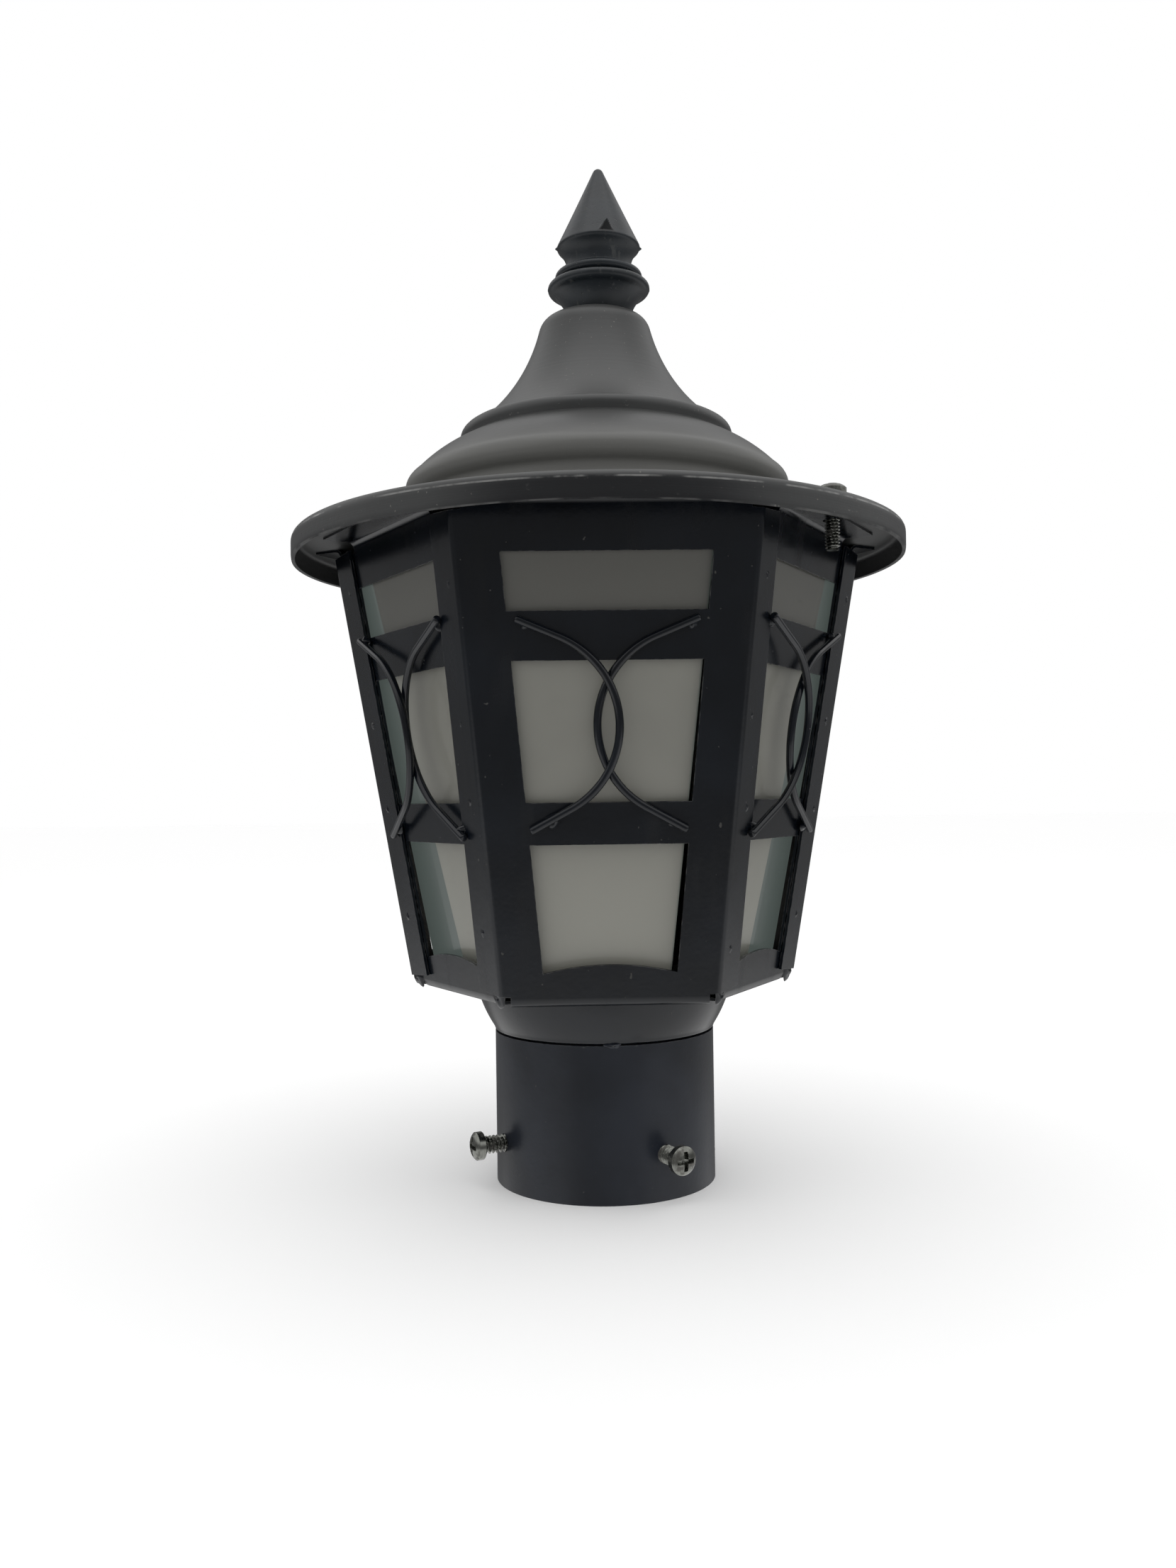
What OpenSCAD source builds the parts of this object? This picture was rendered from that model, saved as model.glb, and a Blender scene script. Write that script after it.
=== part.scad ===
// Pillar lamp: a glazed six-sided lantern of folded sheet on a post sleeve, under a spun roof.
// Origin at the centre of the sleeve's open end, +Z up, front panel towards -Y, millimetres.

/* [Post sleeve] */
// Outer diameter of the tube that slips over the post
sleeve_od = 60; // [54:0.5:80]
// Wall thickness of the sleeve tube
sleeve_wall = 1.4; // [1:0.1:3]
// Length of the sleeve tube
sleeve_l = 40.6; // [32:0.1:70]
// Height of the clamping screws above the open end
set_screw_z = 12; // [8:0.5:16]
// Direction of the first clamping screw, from the front towards the right
set_screw_first = -67; // [-75:1:-50]
// Angle from one clamping screw to the next
set_screw_step = 96; // [80:1:120]
// Shank that stands out between sleeve and screw head, as the screws are left
set_screw_out = 6.2; // [3:0.1:7]
// Length of a clamping screw under its head
set_screw_l = 7.5; // [7.3:0.1:10]

/* [Machine screws] */
// Thread diameter of the clamping and roof screws
screw_d = 4.76; // [4:0.02:6]
// Diameter of their heads
screw_head_d = 7.4; // [7:0.1:9]
// Height of their heads
screw_head_h = 2.9; // [2:0.1:3.5]
// Running clearance between a thread and its tapped hole, on the radius
thread_clear = 0.05; // [0.02:0.01:0.1]
// Clearance round a screw in a plain hole, on the radius
hole_clear = 0.25; // [0.1:0.05:0.5]
// Width of the slots of the cross in a screw head
drive_w = 1.1; // [0.8:0.1:1.4]
// Depth of the cross
drive_depth = 1.3; // [0.8:0.1:1.6]

/* [Neck cup] */
// Height of the cup from the sleeve to the panels
cup_h = 12.1; // [10:0.1:25]
// Wall of the spun cup
cup_t = 0.9; // [0.6:0.1:1.5]
// Outer radius of the bowl at its top
cup_top_r = 34.8; // [33:0.1:38]
// Bulge of the bowl's wall from a straight cone
cup_bulge = 0.45; // [0.1:0.05:1]
// Distance by which the bowl's foot stands out past the sleeve
cup_proud = 0.2; // [0.1:0.1:0.8]
// Rounding of the bowl's foot
cup_corner_r = 0.7; // [0.4:0.1:1]
// Width of the flange that is welded under the panels
cup_flange_w = 3.4; // [2:0.1:4]
// Radius of the opening in the cup's floor
cup_opening_r = 24; // [20:0.1:26]
// Open joint between the sleeve's rim and the cup
cup_joint = 0.3; // [0.1:0.1:0.8]

/* [Lantern panels] */
// Height of the panels
panel_h = 121.1; // [110:0.1:150]
// Radius to the lantern's corners at the lower edge
corner_r_bottom = 52.7; // [50:0.1:58]
// Radius to the lantern's corners at the upper edge
corner_r_top = 73.5; // [70:0.1:74]
// Thickness of the folded sheet
sheet_t = 0.8; // [0.6:0.1:1.2]
// Outer radius of the corner folds
fold_r = 1.8; // [1.4:0.1:2.5]
// Outer radius of the bends at the lower and upper edges
rim_bend_r = 2.6; // [1.8:0.1:3.2]
// Width of the flanges that lap over the next panel
lap_w = 10.8; // [6:0.1:12]
// Air between a lapping flange and the panel under it
lap_gap = 0.3; // [0.2:0.1:0.8]
// Width of the stile on each side of the windows
stile_w = 10.8; // [9:0.1:14]
// Width of the ledge that is bent in at the lower edge
ledge_w = 11.5; // [9:0.1:13]
// Width of the flange that is bent out under the brim
top_flange_w = 9; // [8:0.1:11]
// Notch at each end of a lower ledge
notch_w = 2.2; // [1.5:0.1:4]
// Rounding of the lower corners of the plain panels
plain_corner_r = 4.5; // [3:0.5:6]
// Clearance of a plain panel's edge inside the fold of its neighbour
edge_clear = 0.8; // [0.5:0.1:1.5]

/* [Windows] */
// Height of the sill under the lower window
sill_h = 8.3; // [6:0.1:12]
// Lower window's share of the height that the rails leave open
lower_window_share = 0.401; // [0.36:0.001:0.42]
// Rise of the arch in the lower window's sill
sill_arch = 2.1; // [0.5:0.1:4]
// Height of the lower rail
lower_rail_h = 10.1; // [8:0.1:12]
// Middle window's share of the height that the rails leave open
middle_window_share = 0.426; // [0.38:0.001:0.44]
// Height of the upper rail
upper_rail_h = 11.5; // [8:0.1:13]
// Height of the sheet over the top window
top_rail_h = 13.1; // [12:0.1:15]

/* [Bowed rods] */
// Diameter of the decorative rods
rod_d = 2; // [1.5:0.1:2.4]
// Radius of the bow, at the rod's axis
rod_bow_r = 22.5; // [20:0.1:23.5]
// Half of the angle that the bow turns through
rod_bow_angle = 64; // [60:1:66]
// Length of each straight end
rod_end_l = 11; // [9:0.1:12]
// Length of each straight end on the plain panels, which reaches the flanges over them
rod_end_plain_l = 14.5; // [14:0.1:15.5]
// Distance by which each bow passes the panel's centre line
rod_cross = 2.6; // [1.5:0.1:4]
// Turn of each rod in its plane, which brings its lower end nearer the centre line
rod_lean = 3.3; // [0:0.1:5]
// Rise of the rods' middle over the middle of the window
rod_rise = 2.7; // [0:0.1:4]
// Air between the rods where they cross, and under them
rod_clear = 0.05; // [0.03:0.01:0.2]

/* [Panes] */
// Thickness of the frosted panes
glass_t = 3; // [2:0.1:4]
// Overlap of a pane behind the sides of the windows
pane_lap = 3.5; // [2.5:0.1:4.5]
// Overlap of the front pane, which was cut narrower
front_pane_lap = 2.3; // [1.5:0.1:2.6]
// Overlap of a pane above the top window
pane_lap_top = 4.5; // [3:0.1:6]
// Air between sheet and pane at the pane's top
pane_gap_top = 0.4; // [0.2:0.1:1]
// Air between sheet and pane at the pane's foot
pane_gap_foot = 2.8; // [2.4:0.1:3.4]
// Sideways shift of the front pane, which was set askew
front_pane_shift = -2.4; // [-3:0.1:0]
// Turn of the front pane in its own plane
front_pane_turn = -2; // [-2.5:0.1:0]
// Clearance under the panes
pane_foot_clear = 0.2; // [0.1:0.1:0.5]
// Width of the clips and stops that hold the panes
clip_w = 6; // [4:0.5:9]
// Thickness of the clips and stops
clip_t = 0.8; // [0.5:0.1:1.2]
// Length of each clip's foot, and of its lip over the glass
clip_l = 3.6; // [3:0.1:4]
// Clearance between a clip and the glass
clip_clear = 0.15; // [0.1:0.05:0.4]

/* [Base plate] */
// Thickness of the plate that lies on the panels' ledges
plate_t = 1; // [0.8:0.1:2]
// Distance from the panels' faces to the plate's edge
plate_inset = 4.7; // [4.4:0.1:6]

/* [Roof] */
// Wall of the spun roof
roof_t = 0.9; // [0.7:0.1:1.4]
// Outer radius of the brim
brim_r = 83.4; // [82:0.1:95]
// Depth of the brim's turned-down lip
lip_h = 6.8; // [5:0.1:12]
// Outer radius of the bend between brim and lip
lip_bend_r = 2; // [1.5:0.1:3]
// Height of the lowest tier, which rises from the brim
tier_low_h = 16.8; // [14:0.1:20]
// Radius of the lowest tier above its cove
tier_low_r = 50.4; // [49:0.1:54]
// Bulge of the lowest tier
tier_low_bulge = 2.4; // [1:0.1:3]
// Height of the cove between brim and lowest tier
cove_h = 8.2; // [6:0.1:9]
// Width of that cove
cove_w = 5; // [3:0.1:6]
// Height of the middle tier
tier_mid_h = 9.4; // [7:0.1:12]
// Radius of the middle tier's lower edge
tier_mid_r = 50.5; // [49:0.1:53]
// Bulge of the middle tier
tier_mid_bulge = 0.8; // [0.3:0.1:1.2]
// Height of the upper tier
tier_top_h = 4.3; // [4:0.1:6]
// Radius of the upper tier's lower edge
tier_top_r = 37; // [36:0.1:39]
// Bulge of the upper tier
tier_top_bulge = 2; // [0.5:0.1:2]
// Height of the flared neck above the tiers
spire_h = 31.6; // [26:0.1:40]
// Radius where the flared neck leaves the upper tier
spire_foot_r = 33.7; // [32:0.1:34.5]
// Radius of the flared neck at its shoulder
spire_top_r = 15.4; // [14:0.1:17]
// Hollow of the flare from a straight cone
spire_flare = 2.8; // [0.5:0.1:3.2]
// Height of the rounded shoulder at the roof's top
shoulder_h = 3.5; // [3:0.1:6]
// Width of that shoulder
shoulder_w = 4.9; // [3.5:0.1:5.2]
// Distance of the roof screws from the axis
roof_screw_r = 67.5; // [66.8:0.1:68.5]
// Length of a roof screw under its head
roof_screw_l = 9.5; // [7:0.1:13]

/* [Finial] */
// Height of the pointed cone
finial_cone_h = 21.6; // [15:0.1:30]
// Radius of the cone's foot
finial_cone_r = 11.3; // [9:0.1:14]
// Radius of the waist and of the neck that stands on the roof
finial_neck_r = 8.9; // [8:0.1:10]
// Radius of the upper ring
finial_ring_r = 12; // [11:0.1:13]
// Radius of the lower ring
finial_disc_r = 13.9; // [12.5:0.1:16]
// Height of the flared foot under the lower ring
finial_foot_h = 6.6; // [5:0.1:7]
// Thickness of the lower ring
finial_disc_h = 3; // [2:0.1:3.4]
// Thickness of the upper ring
finial_ring_h = 2.4; // [1.6:0.1:3]
// Height from the roof to the underside of the cone
finial_neck_h = 20.3; // [19:0.1:25]
// Thread diameter of the screw that holds the finial
finial_screw_d = 4; // [3:0.1:5]
// Length of that screw under its head
finial_screw_l = 14; // [10:0.5:16]

/* [Lamp holder] */
// Outer radius of the holder's body above its flange
holder_r = 13; // [12:0.1:15]
// Height of the holder's mouth above the base plate
holder_rise = 11.2; // [9:0.1:16]
// Depth of the holder below the top of the base plate
holder_sink = 13.3; // [12.5:0.1:13.5]
// Radius of the flange that lies on the base plate
holder_flange_r = 21; // [20.5:0.1:22]
// Thickness of that flange
holder_flange_t = 3; // [2:0.1:4]
// Thickness of the holder's floor
holder_floor = 5.5; // [5:0.1:6]
// Depth of the chamber under the screw shell
chamber_h = 5; // [4.6:0.1:5.5]
// Outer radius of the screw shell for the lamp's cap
shell_r = 7.5; // [7.2:0.1:8]
// Wall of the screw shell
shell_t = 0.4; // [0.3:0.1:0.6]
// Thread diameter of the screws that hold the holder
holder_screw_d = 3; // [2.5:0.1:4]
// Distance of those screws from the axis
holder_screw_x = 17; // [16.5:0.1:17.5]
// Thread diameter of the terminal screws
terminal_d = 2.5; // [2:0.1:3]
// Distance of the terminal screws from the axis
terminal_y = 4; // [3.8:0.1:4.2]

/* [Hidden] */
$fn = 72;

// Each side's place round the lantern, counted from the front towards the right
FRONT = 0;
RIGHT = 1;
BACK_RIGHT = 2;
BACK = 3;
BACK_LEFT = 4;
LEFT = 5;
// The roof screws stand over these two opposite sides
ROOF_SCREW_SIDES = [RIGHT, BACK_LEFT];
PANEL_COLOUR = "#1c1f25";
ROD_COLOUR = "#15171a";
eps = 0.01;

// Heights of the stack, from the open end of the sleeve upwards
panel_z = sleeve_l + cup_joint + cup_h;
roof_z = panel_z + panel_h;
brim_z = roof_z + roof_t;
tier_mid_z = brim_z + tier_low_h;
tier_top_z = tier_mid_z + tier_mid_h;
spire_z = tier_top_z + tier_top_h;
spire_top_z = spire_z + spire_h;
plate_z = panel_z + sheet_t;
plate_top_z = plate_z + plate_t;
holder_top_z = plate_top_z + holder_rise;
holder_z = plate_top_z - holder_sink;
holder_floor_z = holder_z + holder_floor;
shell_z = holder_floor_z + chamber_h;

// Shape of the lantern: how far its sides lean out, and how its corners run
lean = atan((corner_r_top - corner_r_bottom) * cos(30) / panel_h);
corner_turn = acos(cos(lean) * cos(lean) / 2 + sin(lean) * sin(lean));
corner_run = atan((corner_r_top - corner_r_bottom) / 2 * cos(lean) / panel_h);
set_in = sheet_t + lap_gap;
// Plain panels stand between the flanged ones, set in behind their flanges
function is_plain(side) = side % 2 == 1;
function seat_out(side) = is_plain(side) ? -set_in : 0;

// Heights of the windows above the panels' lower edge: they share what the rails leave open
open_h = panel_h - sill_h - lower_rail_h - upper_rail_h - top_rail_h;
lower_window_z = sill_h;
lower_window_top = lower_window_z + lower_window_share * open_h;
middle_window_z = lower_window_top + lower_rail_h;
middle_window_top = middle_window_z + middle_window_share * open_h;
top_window_z = middle_window_top + upper_rail_h;
top_window_top = panel_h - top_rail_h;
rod_z = (middle_window_z + middle_window_top) / 2 + rod_rise;

// Radius to a corner, half of a side's width and distance of a side, h above the lower edge
function corner_r(h) = corner_r_bottom + (corner_r_top - corner_r_bottom) * h / panel_h;
function half_side(h) = corner_r(h) / 2;
function apothem(h) = corner_r(h) * cos(30);

// Distance up the sloping sheet that is h above the lower edge, in a plane w out from the face
function up_slope(h, w = 0) = (h + w * sin(lean)) / cos(lean);

// Points of an arc from p to q whose middle stands off the chord by sag, to the left of travel
function arc_points(p, q, sag, steps) =
    let (
        chord = q - p,
        span = norm(chord),
        r = (span * span / 4 + sag * sag) / (2 * abs(sag)),
        side = sign(sag),
        left = [-chord[1], chord[0]] / span,
        centre = (p + q) / 2 + left * (sag - side * r),
        start = atan2(p[1] - centre[1], p[0] - centre[0]),
        turn = -side * 2 * asin(min(1, span / 2 / r))
    )
    [for (i = [0 : steps]) centre + r * [cos(start + turn * i / steps), sin(start + turn * i / steps)]];

// Normal to the left of travel of the step from p to q
function left_normal(p, q) = [p[1] - q[1], q[0] - p[0]] / norm(q - p);

// Path moved by d to the left of travel, with mitred corners
function shifted_path(path, d) =
    let (last = len(path) - 1)
    [for (i = [0 : last])
        let (
            before = left_normal(path[max(i - 1, 0)], path[max(i, 1)]),
            after = left_normal(path[min(i, last - 1)], path[min(i + 1, last)]),
            both = before + after
        )
        path[i] + both * 2 * d / (both * both)];

// Closed outline of a sheet that lies to the left of a path
function sheet_outline(path, t) =
    let (other = shifted_path(path, t), last = len(path) - 1)
    concat(path, [for (i = [0 : last]) other[last - i]]);

// Frame of one side: X along it, Y up its slope, Z out of it, origin at its lower edge
module on_side(side) {
    rotate([0, 0, 60 * side])
        translate([0, -apothem(0), panel_z])
            rotate([90 + lean, 0, 0])
                children();
}

// A strip across a side whose section is drawn as slope against outward distance
module across(width) {
    rotate([90, 0, 90])
        linear_extrude(width, center = true)
            children();
}

// Two legs of sheet joined by a round bend, with the sharp outer corner at the origin.
// The first leg comes along +X below the axis, and the second turns down from it.
module bent_sheet(turn, r, leg_in, leg_out) {
    set_back = r * tan(turn / 2);
    far = 2 * r;
    translate([-leg_in, -sheet_t])
        square([leg_in - set_back, sheet_t]);
    rotate(-turn)
        translate([set_back, -sheet_t])
            square([leg_out - set_back, sheet_t]);
    translate([-set_back, -r])
        intersection() {
            difference() {
                circle(r);
                circle(r - sheet_t);
            }
            polygon([[0, 0], [0, far], [far * tan(turn / 2), far], [far * sin(turn), far * cos(turn)]]);
        }
}

// Ledge bent in at the lower edge of a sheet whose face is set_w behind the side's plane
module lower_ledge(set_w, width, reach) {
    intersection() {
        across(width)
            translate([-set_w * tan(lean), -set_w])
                mirror([1, 0])
                    bent_sheet(90 - lean, rim_bend_r, reach, ledge_w);
        ledge_wedge(set_w);
    }
}

// Wedge in which a ledge lies, mitred against its neighbours
module ledge_wedge(set_w) {
    mitre_gap = 0.5;
    far = corner_r_bottom;
    rotate([-90 - lean, 0, 0])
        translate([0, apothem(0) - mitre_gap / sin(30), -far])
            linear_extrude(2 * far)
                polygon([[0, 0], [-far * tan(30), -far], [far * tan(30), -far]]);
}

// Flange bent out at the upper edge, flat under the brim
module upper_flange(set_w, width, reach) {
    inner = -set_w - sheet_t;
    across(width)
        translate([up_slope(panel_h, inner), inner])
            mirror([0, 1])
                bent_sheet(90 - lean, rim_bend_r, reach, top_flange_w);
}

// Edge strip of a panel with the fold round a corner and the flange that laps the next panel
module lap_flange(from_h, to_h, reach) {
    from = up_slope(from_h) / cos(corner_run);
    to = up_slope(to_h) / cos(corner_run);
    translate([half_side(0), 0, 0])
        rotate([0, 0, -corner_run])
            rotate([90, 0, 0])
                translate([0, 0, -to])
                    linear_extrude(to - from)
                        bent_sheet(corner_turn, fold_r, reach, lap_w);
}

// The three window openings as flat outlines on a side
module window_outlines() {
    half_0 = half_side(lower_window_z) - stile_w;
    arch_r = (half_0 * half_0 + sill_arch * sill_arch) / (2 * sill_arch);
    difference() {
        window_outline(lower_window_z, lower_window_top);
        translate([0, up_slope(lower_window_z) + sill_arch - arch_r])
            circle(arch_r, $fn = 180);
    }
    window_outline(middle_window_z, middle_window_top);
    window_outline(top_window_z, top_window_top);
}

module window_outline(from_h, to_h) {
    a = half_side(from_h) - stile_w;
    b = half_side(to_h) - stile_w;
    polygon([[-a, up_slope(from_h)], [a, up_slope(from_h)], [b, up_slope(to_h)], [-b, up_slope(to_h)]]);
}

// Flat face of a panel between two heights, inset from the corners, with its windows
module face_sheet(from_h, to_h, inset, round_r) {
    a = half_side(from_h) - inset;
    b = half_side(to_h) - inset;
    low = up_slope(from_h);
    high = up_slope(to_h);
    linear_extrude(sheet_t)
        difference() {
            polygon([[-a + round_r, low], [a - round_r, low], [a, low + round_r], [b, high],
                [-b, high], [-a, low + round_r]]);
            window_outlines();
        }
}

// Where the rims' flat sheet ends and their bends begin
rim_back = rim_bend_r * tan((90 - lean) / 2);
rim_reach = rim_back + 3;
face_low_h = (rim_back + 0.5) * cos(lean);
face_high_h = panel_h - (rim_back + 1.5) * cos(lean);

// Panel whose sides are folded back over its neighbours
module flanged_panel(side) {
    ledge_half = half_side(0) - notch_w;
    fold_back = fold_r * tan(corner_turn / 2);
    flat_half = half_side(panel_h) - fold_back - 2;
    color(PANEL_COLOUR)
        on_side(side)
            difference() {
                union() {
                    translate([0, 0, -sheet_t])
                        face_sheet(face_low_h, face_high_h, fold_back + 0.3, 0);
                    lower_ledge(0, 2 * ledge_half, rim_reach);
                    upper_flange(0, 2 * flat_half, rim_reach);
                    for (flip = [0, 1])
                        mirror([flip, 0, 0])
                            lap_flange(face_low_h, face_high_h, fold_back + 3);
                }
                roof_screw_hole(side);
            }
}

// Panel that lies between two flanged ones, under their flanges
module plain_panel(side) {
    ledge_half = half_side(0) - plain_corner_r - edge_clear;
    top_half = half_side(panel_h) - lap_w - 2 * edge_clear;
    color(PANEL_COLOUR)
        on_side(side)
            difference() {
                union() {
                    translate([0, 0, -set_in - sheet_t])
                        face_sheet(face_low_h, face_high_h, edge_clear, plain_corner_r);
                    lower_ledge(set_in, 2 * ledge_half, rim_reach);
                    upper_flange(set_in, 2 * top_half, rim_reach);
                }
                roof_screw_hole(side);
            }
}

// Tapped hole for a roof screw in the upper flange, in a side's frame
module roof_screw_hole(side) {
    if (len(search(side, ROOF_SCREW_SIDES)) > 0)
        rotate([-90 - lean, 0, 0])
            translate([0, apothem(0) - roof_screw_r, panel_h])
                cylinder(h = 4 * rim_bend_r, r = screw_d / 2 + thread_clear, center = true);
}

// Bowed rod on its side: a circular bow with a straight end on each rail, in one plane.
// A ball a hair thicker than the rod closes the seam between the bow and each end.
module bowed_rod(end_l) {
    seam = rod_d / 20;
    rotate([0, 0, -rod_bow_angle])
        rotate_extrude(angle = 2 * rod_bow_angle)
            translate([rod_bow_r, 0])
                circle(d = rod_d, $fn = 24);
    for (flip = [0, 1])
        mirror([0, flip, 0])
            rotate([0, 0, rod_bow_angle])
                translate([rod_bow_r, 0, 0])
                    rotate([-90, 0, 0]) {
                        sphere(d = rod_d * 1.03, $fn = 24);
                        translate([0, 0, seam])
                            cylinder(h = end_l - seam, d = rod_d, $fn = 24);
                    }
}

function end_l(side) = is_plain(side) ? rod_end_plain_l : rod_end_l;
// Distance from the panel's centre line to the tips of a rod
function rod_tip_x(side) =
    rod_bow_r * (1 - cos(rod_bow_angle)) + end_l(side) * sin(rod_bow_angle) - rod_cross;
// Distance of the two crossings from the middle of the rods
rod_cross_y = sqrt(rod_bow_r * rod_bow_r - pow(rod_bow_r - rod_cross, 2));
// The rod on top is tilted, so that its tips touch the sheet and its bow clears the other rod
function rod_tilt(side) =
    atan((rod_d + rod_clear) / (rod_tip_x(side) - rod_cross_y * sin(rod_lean)));

// Frame of a rod that bows towards +X: origin on the centre line, at the rod's axis
module on_rod(side) {
    on_side(side)
        translate([0, up_slope(rod_z), rod_d / 2 + rod_clear])
            children();
}

module rod_under(side) {
    color(ROD_COLOUR)
        on_rod(side)
            mirror([1, 0, 0])
                rotate([0, 0, rod_lean])
                    translate([rod_cross - rod_bow_r, 0, 0])
                        bowed_rod(end_l(side));
}

module rod_over(side) {
    tip_x = rod_tip_x(side);
    tilt = rod_tilt(side);
    color(ROD_COLOUR)
        on_rod(side)
            rotate([0, 0, rod_lean])
                translate([-tip_x, 0, 0])
                    rotate([0, -tilt, 0])
                        translate([tip_x / cos(tilt) + rod_cross - rod_bow_r, 0, 0])
                            bowed_rod(end_l(side));
}

// Heights of the panes above the panels' lower edge, and how much more they lean than the sheet
pane_top = top_window_top + pane_lap_top;
pane_foot = plate_top_z - panel_z + pane_foot_clear;
pane_len = (pane_top - pane_foot) / cos(lean);
pane_tilt = asin((pane_gap_foot - pane_gap_top) / pane_len);

// Frame of a pane: X across, Y up, Z out, origin at the middle of the outer face's upper edge
module on_pane(side) {
    on_side(side)
        translate([0, up_slope(pane_top), seat_out(side) - sheet_t - pane_gap_top])
            rotate([pane_tilt, 0, 0])
                children();
}

module pane(side, lap = pane_lap, shift = 0, turn = 0) {
    top_half = half_side(pane_top) - stile_w + lap;
    foot_half = half_side(pane_foot) - stile_w + lap;
    skew = abs(sin(turn)) * foot_half;
    foot = -pane_len + 2 * skew;
    color("lightgray", 0.8)
        on_pane(side)
            translate([shift, -skew, -glass_t])
                rotate([0, 0, turn])
                    linear_extrude(glass_t)
                        polygon([[-foot_half, foot], [foot_half, foot], [top_half, 0], [-top_half, 0]]);
}

// The glass leans in under a clip by this much over the lip's length
clip_slack = clip_l * sin(pane_tilt);

// Clips over the panes' upper edges: foot on the sheet, web, and lip over the glass
module pane_clips() {
    lip_z = -sheet_t - pane_gap_top - glass_t - clip_clear - clip_t;
    web_y = up_slope(pane_top) + 2 * clip_clear;
    spread = half_side(pane_top) - 2 * stile_w;
    color("dimgray")
        for (side = [FRONT : LEFT])
            on_side(side)
                translate([0, 0, seat_out(side)])
                    for (x = [-spread, spread])
                        translate([x, 0, 0])
                            across(clip_w)
                                union() {
                                    translate([web_y, -sheet_t - clip_t])
                                        square([clip_l, clip_t]);
                                    translate([web_y, lip_z])
                                        square([clip_t, -sheet_t - lip_z]);
                                    translate([web_y - clip_l, lip_z - clip_slack])
                                        square([clip_l + clip_t, clip_t]);
                                }
}
// Angle stops on the base plate, behind the feet of the panes
module pane_stops() {
    foot_y = -pane_len + pane_foot_clear;
    spread = half_side(pane_foot) - stile_w - clip_w / 2;
    stop_r = apothem(pane_foot) - (sheet_t + pane_gap_foot + glass_t) / cos(lean) - 2 * clip_clear;
    color("dimgray")
        for (side = [FRONT : LEFT])
            rotate([0, 0, 60 * side])
                translate([0, -stop_r - seat_out(side), plate_top_z])
                    for (x = [-spread, spread])
                        translate([x - clip_w / 2, 0, 0]) {
                            rotate([lean + pane_tilt, 0, 0])
                                cube([clip_w, clip_t, clip_l]);
                            cube([clip_w, clip_l, clip_t]);
                        }
}

// The holder's body is a little slimmer where it goes through the base plate
holder_neck_r = holder_r - 0.5;

// Hexagonal plate that closes the lantern's foot and carries the lamp holder
module base_plate() {
    plate_r = corner_r(0) - (set_in + plate_inset) / cos(30) + eps;
    color("dimgray")
        translate([0, 0, plate_z])
            difference() {
                cylinder(h = plate_t, r = plate_r, $fn = 6);
                translate([0, 0, -eps])
                    cylinder(h = plate_t + 2 * eps, r = holder_neck_r + 2 * hole_clear);
                for (x = [-holder_screw_x, holder_screw_x])
                    translate([x, 0, -eps])
                        cylinder(h = plate_t + 2 * eps, r = holder_screw_d / 2 + hole_clear);
            }
}

// Spun cup between the sleeve and the panels, followed from its floor up its outer side.
// The floor's ring stops the post.
module neck_cup() {
    foot_r = sleeve_od / 2 + cup_proud;
    seat_z = sleeve_l + cup_joint;
    flange_z = panel_z - cup_t;
    path = concat(
        [[cup_opening_r, seat_z]],
        arc_points([foot_r - cup_corner_r, seat_z], [foot_r, seat_z + cup_corner_r],
            -0.29 * cup_corner_r, 4),
        arc_points([foot_r + eps, seat_z + 1.3 * cup_corner_r], [cup_top_r, flange_z], -cup_bulge, 10),
        [[cup_top_r + cup_flange_w, flange_z]]
    );
    color("#2e3136")
        rotate_extrude()
            polygon(sheet_outline(path, cup_t));
}

// Tube with the tapped holes of the clamping screws
module sleeve() {
    color("#22252b")
        difference() {
            cylinder(h = sleeve_l, d = sleeve_od, $fn = 120);
            translate([0, 0, -eps])
                cylinder(h = sleeve_l + 2 * eps, d = sleeve_od - 2 * sleeve_wall, $fn = 120);
            for (i = [0, 1])
                at_set_screw(i)
                    translate([0, 0, sleeve_od / 4])
                        cylinder(h = sleeve_od / 2, r = screw_d / 2 + thread_clear);
        }
}

// Frame of a clamping screw: Z out along its axis from the middle of the sleeve
module at_set_screw(i) {
    rotate([0, 0, set_screw_first + i * set_screw_step])
        translate([0, 0, set_screw_z])
            rotate([90, 0, 0])
                children();
}

// Machine screw with its head's underside at the origin and its shank along -Z
module machine_screw(d, shank_l, head_d, head_h, slot_w, slot_depth) {
    point_h = d / 8;
    edge_h = head_h / 3;
    slot_l = head_d * 0.64;
    difference() {
        rotate_extrude()
            polygon(concat(
                [[0, -shank_l], [d / 2 - point_h, -shank_l], [d / 2, point_h - shank_l],
                    [d / 2, 0], [head_d / 2, 0], [head_d / 2, head_h - edge_h]],
                arc_points([head_d / 2 - eps, head_h - edge_h], [eps, head_h], -head_d / 14, 6),
                [[0, head_h]]
            ));
        for (turn = [0, 90])
            rotate([0, 0, turn])
                translate([-slot_l / 2, -slot_w / 2, head_h - slot_depth])
                    cube([slot_l, slot_w, slot_depth + eps]);
    }
}

// Pan-headed screw of another size, in the proportions of the clamping screws
module small_screw(d, shank_l) {
    ratio = d / screw_d;
    machine_screw(d, shank_l, screw_head_d * ratio, screw_head_h * ratio, drive_w * ratio,
        drive_depth * ratio);
}

// Screw of the size that clamps the sleeve and holds the roof
module lamp_screw(shank_l) {
    machine_screw(screw_d, shank_l, screw_head_d, screw_head_h, drive_w, drive_depth);
}

// Hexagon nut round a thread, standing on the origin
module hex_nut(d, h, across_flats) {
    difference() {
        cylinder(h = h, d = across_flats / cos(30), $fn = 6);
        translate([0, 0, -eps])
            cylinder(h = h + 2 * eps, r = d / 2 + thread_clear);
    }
}

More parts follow.
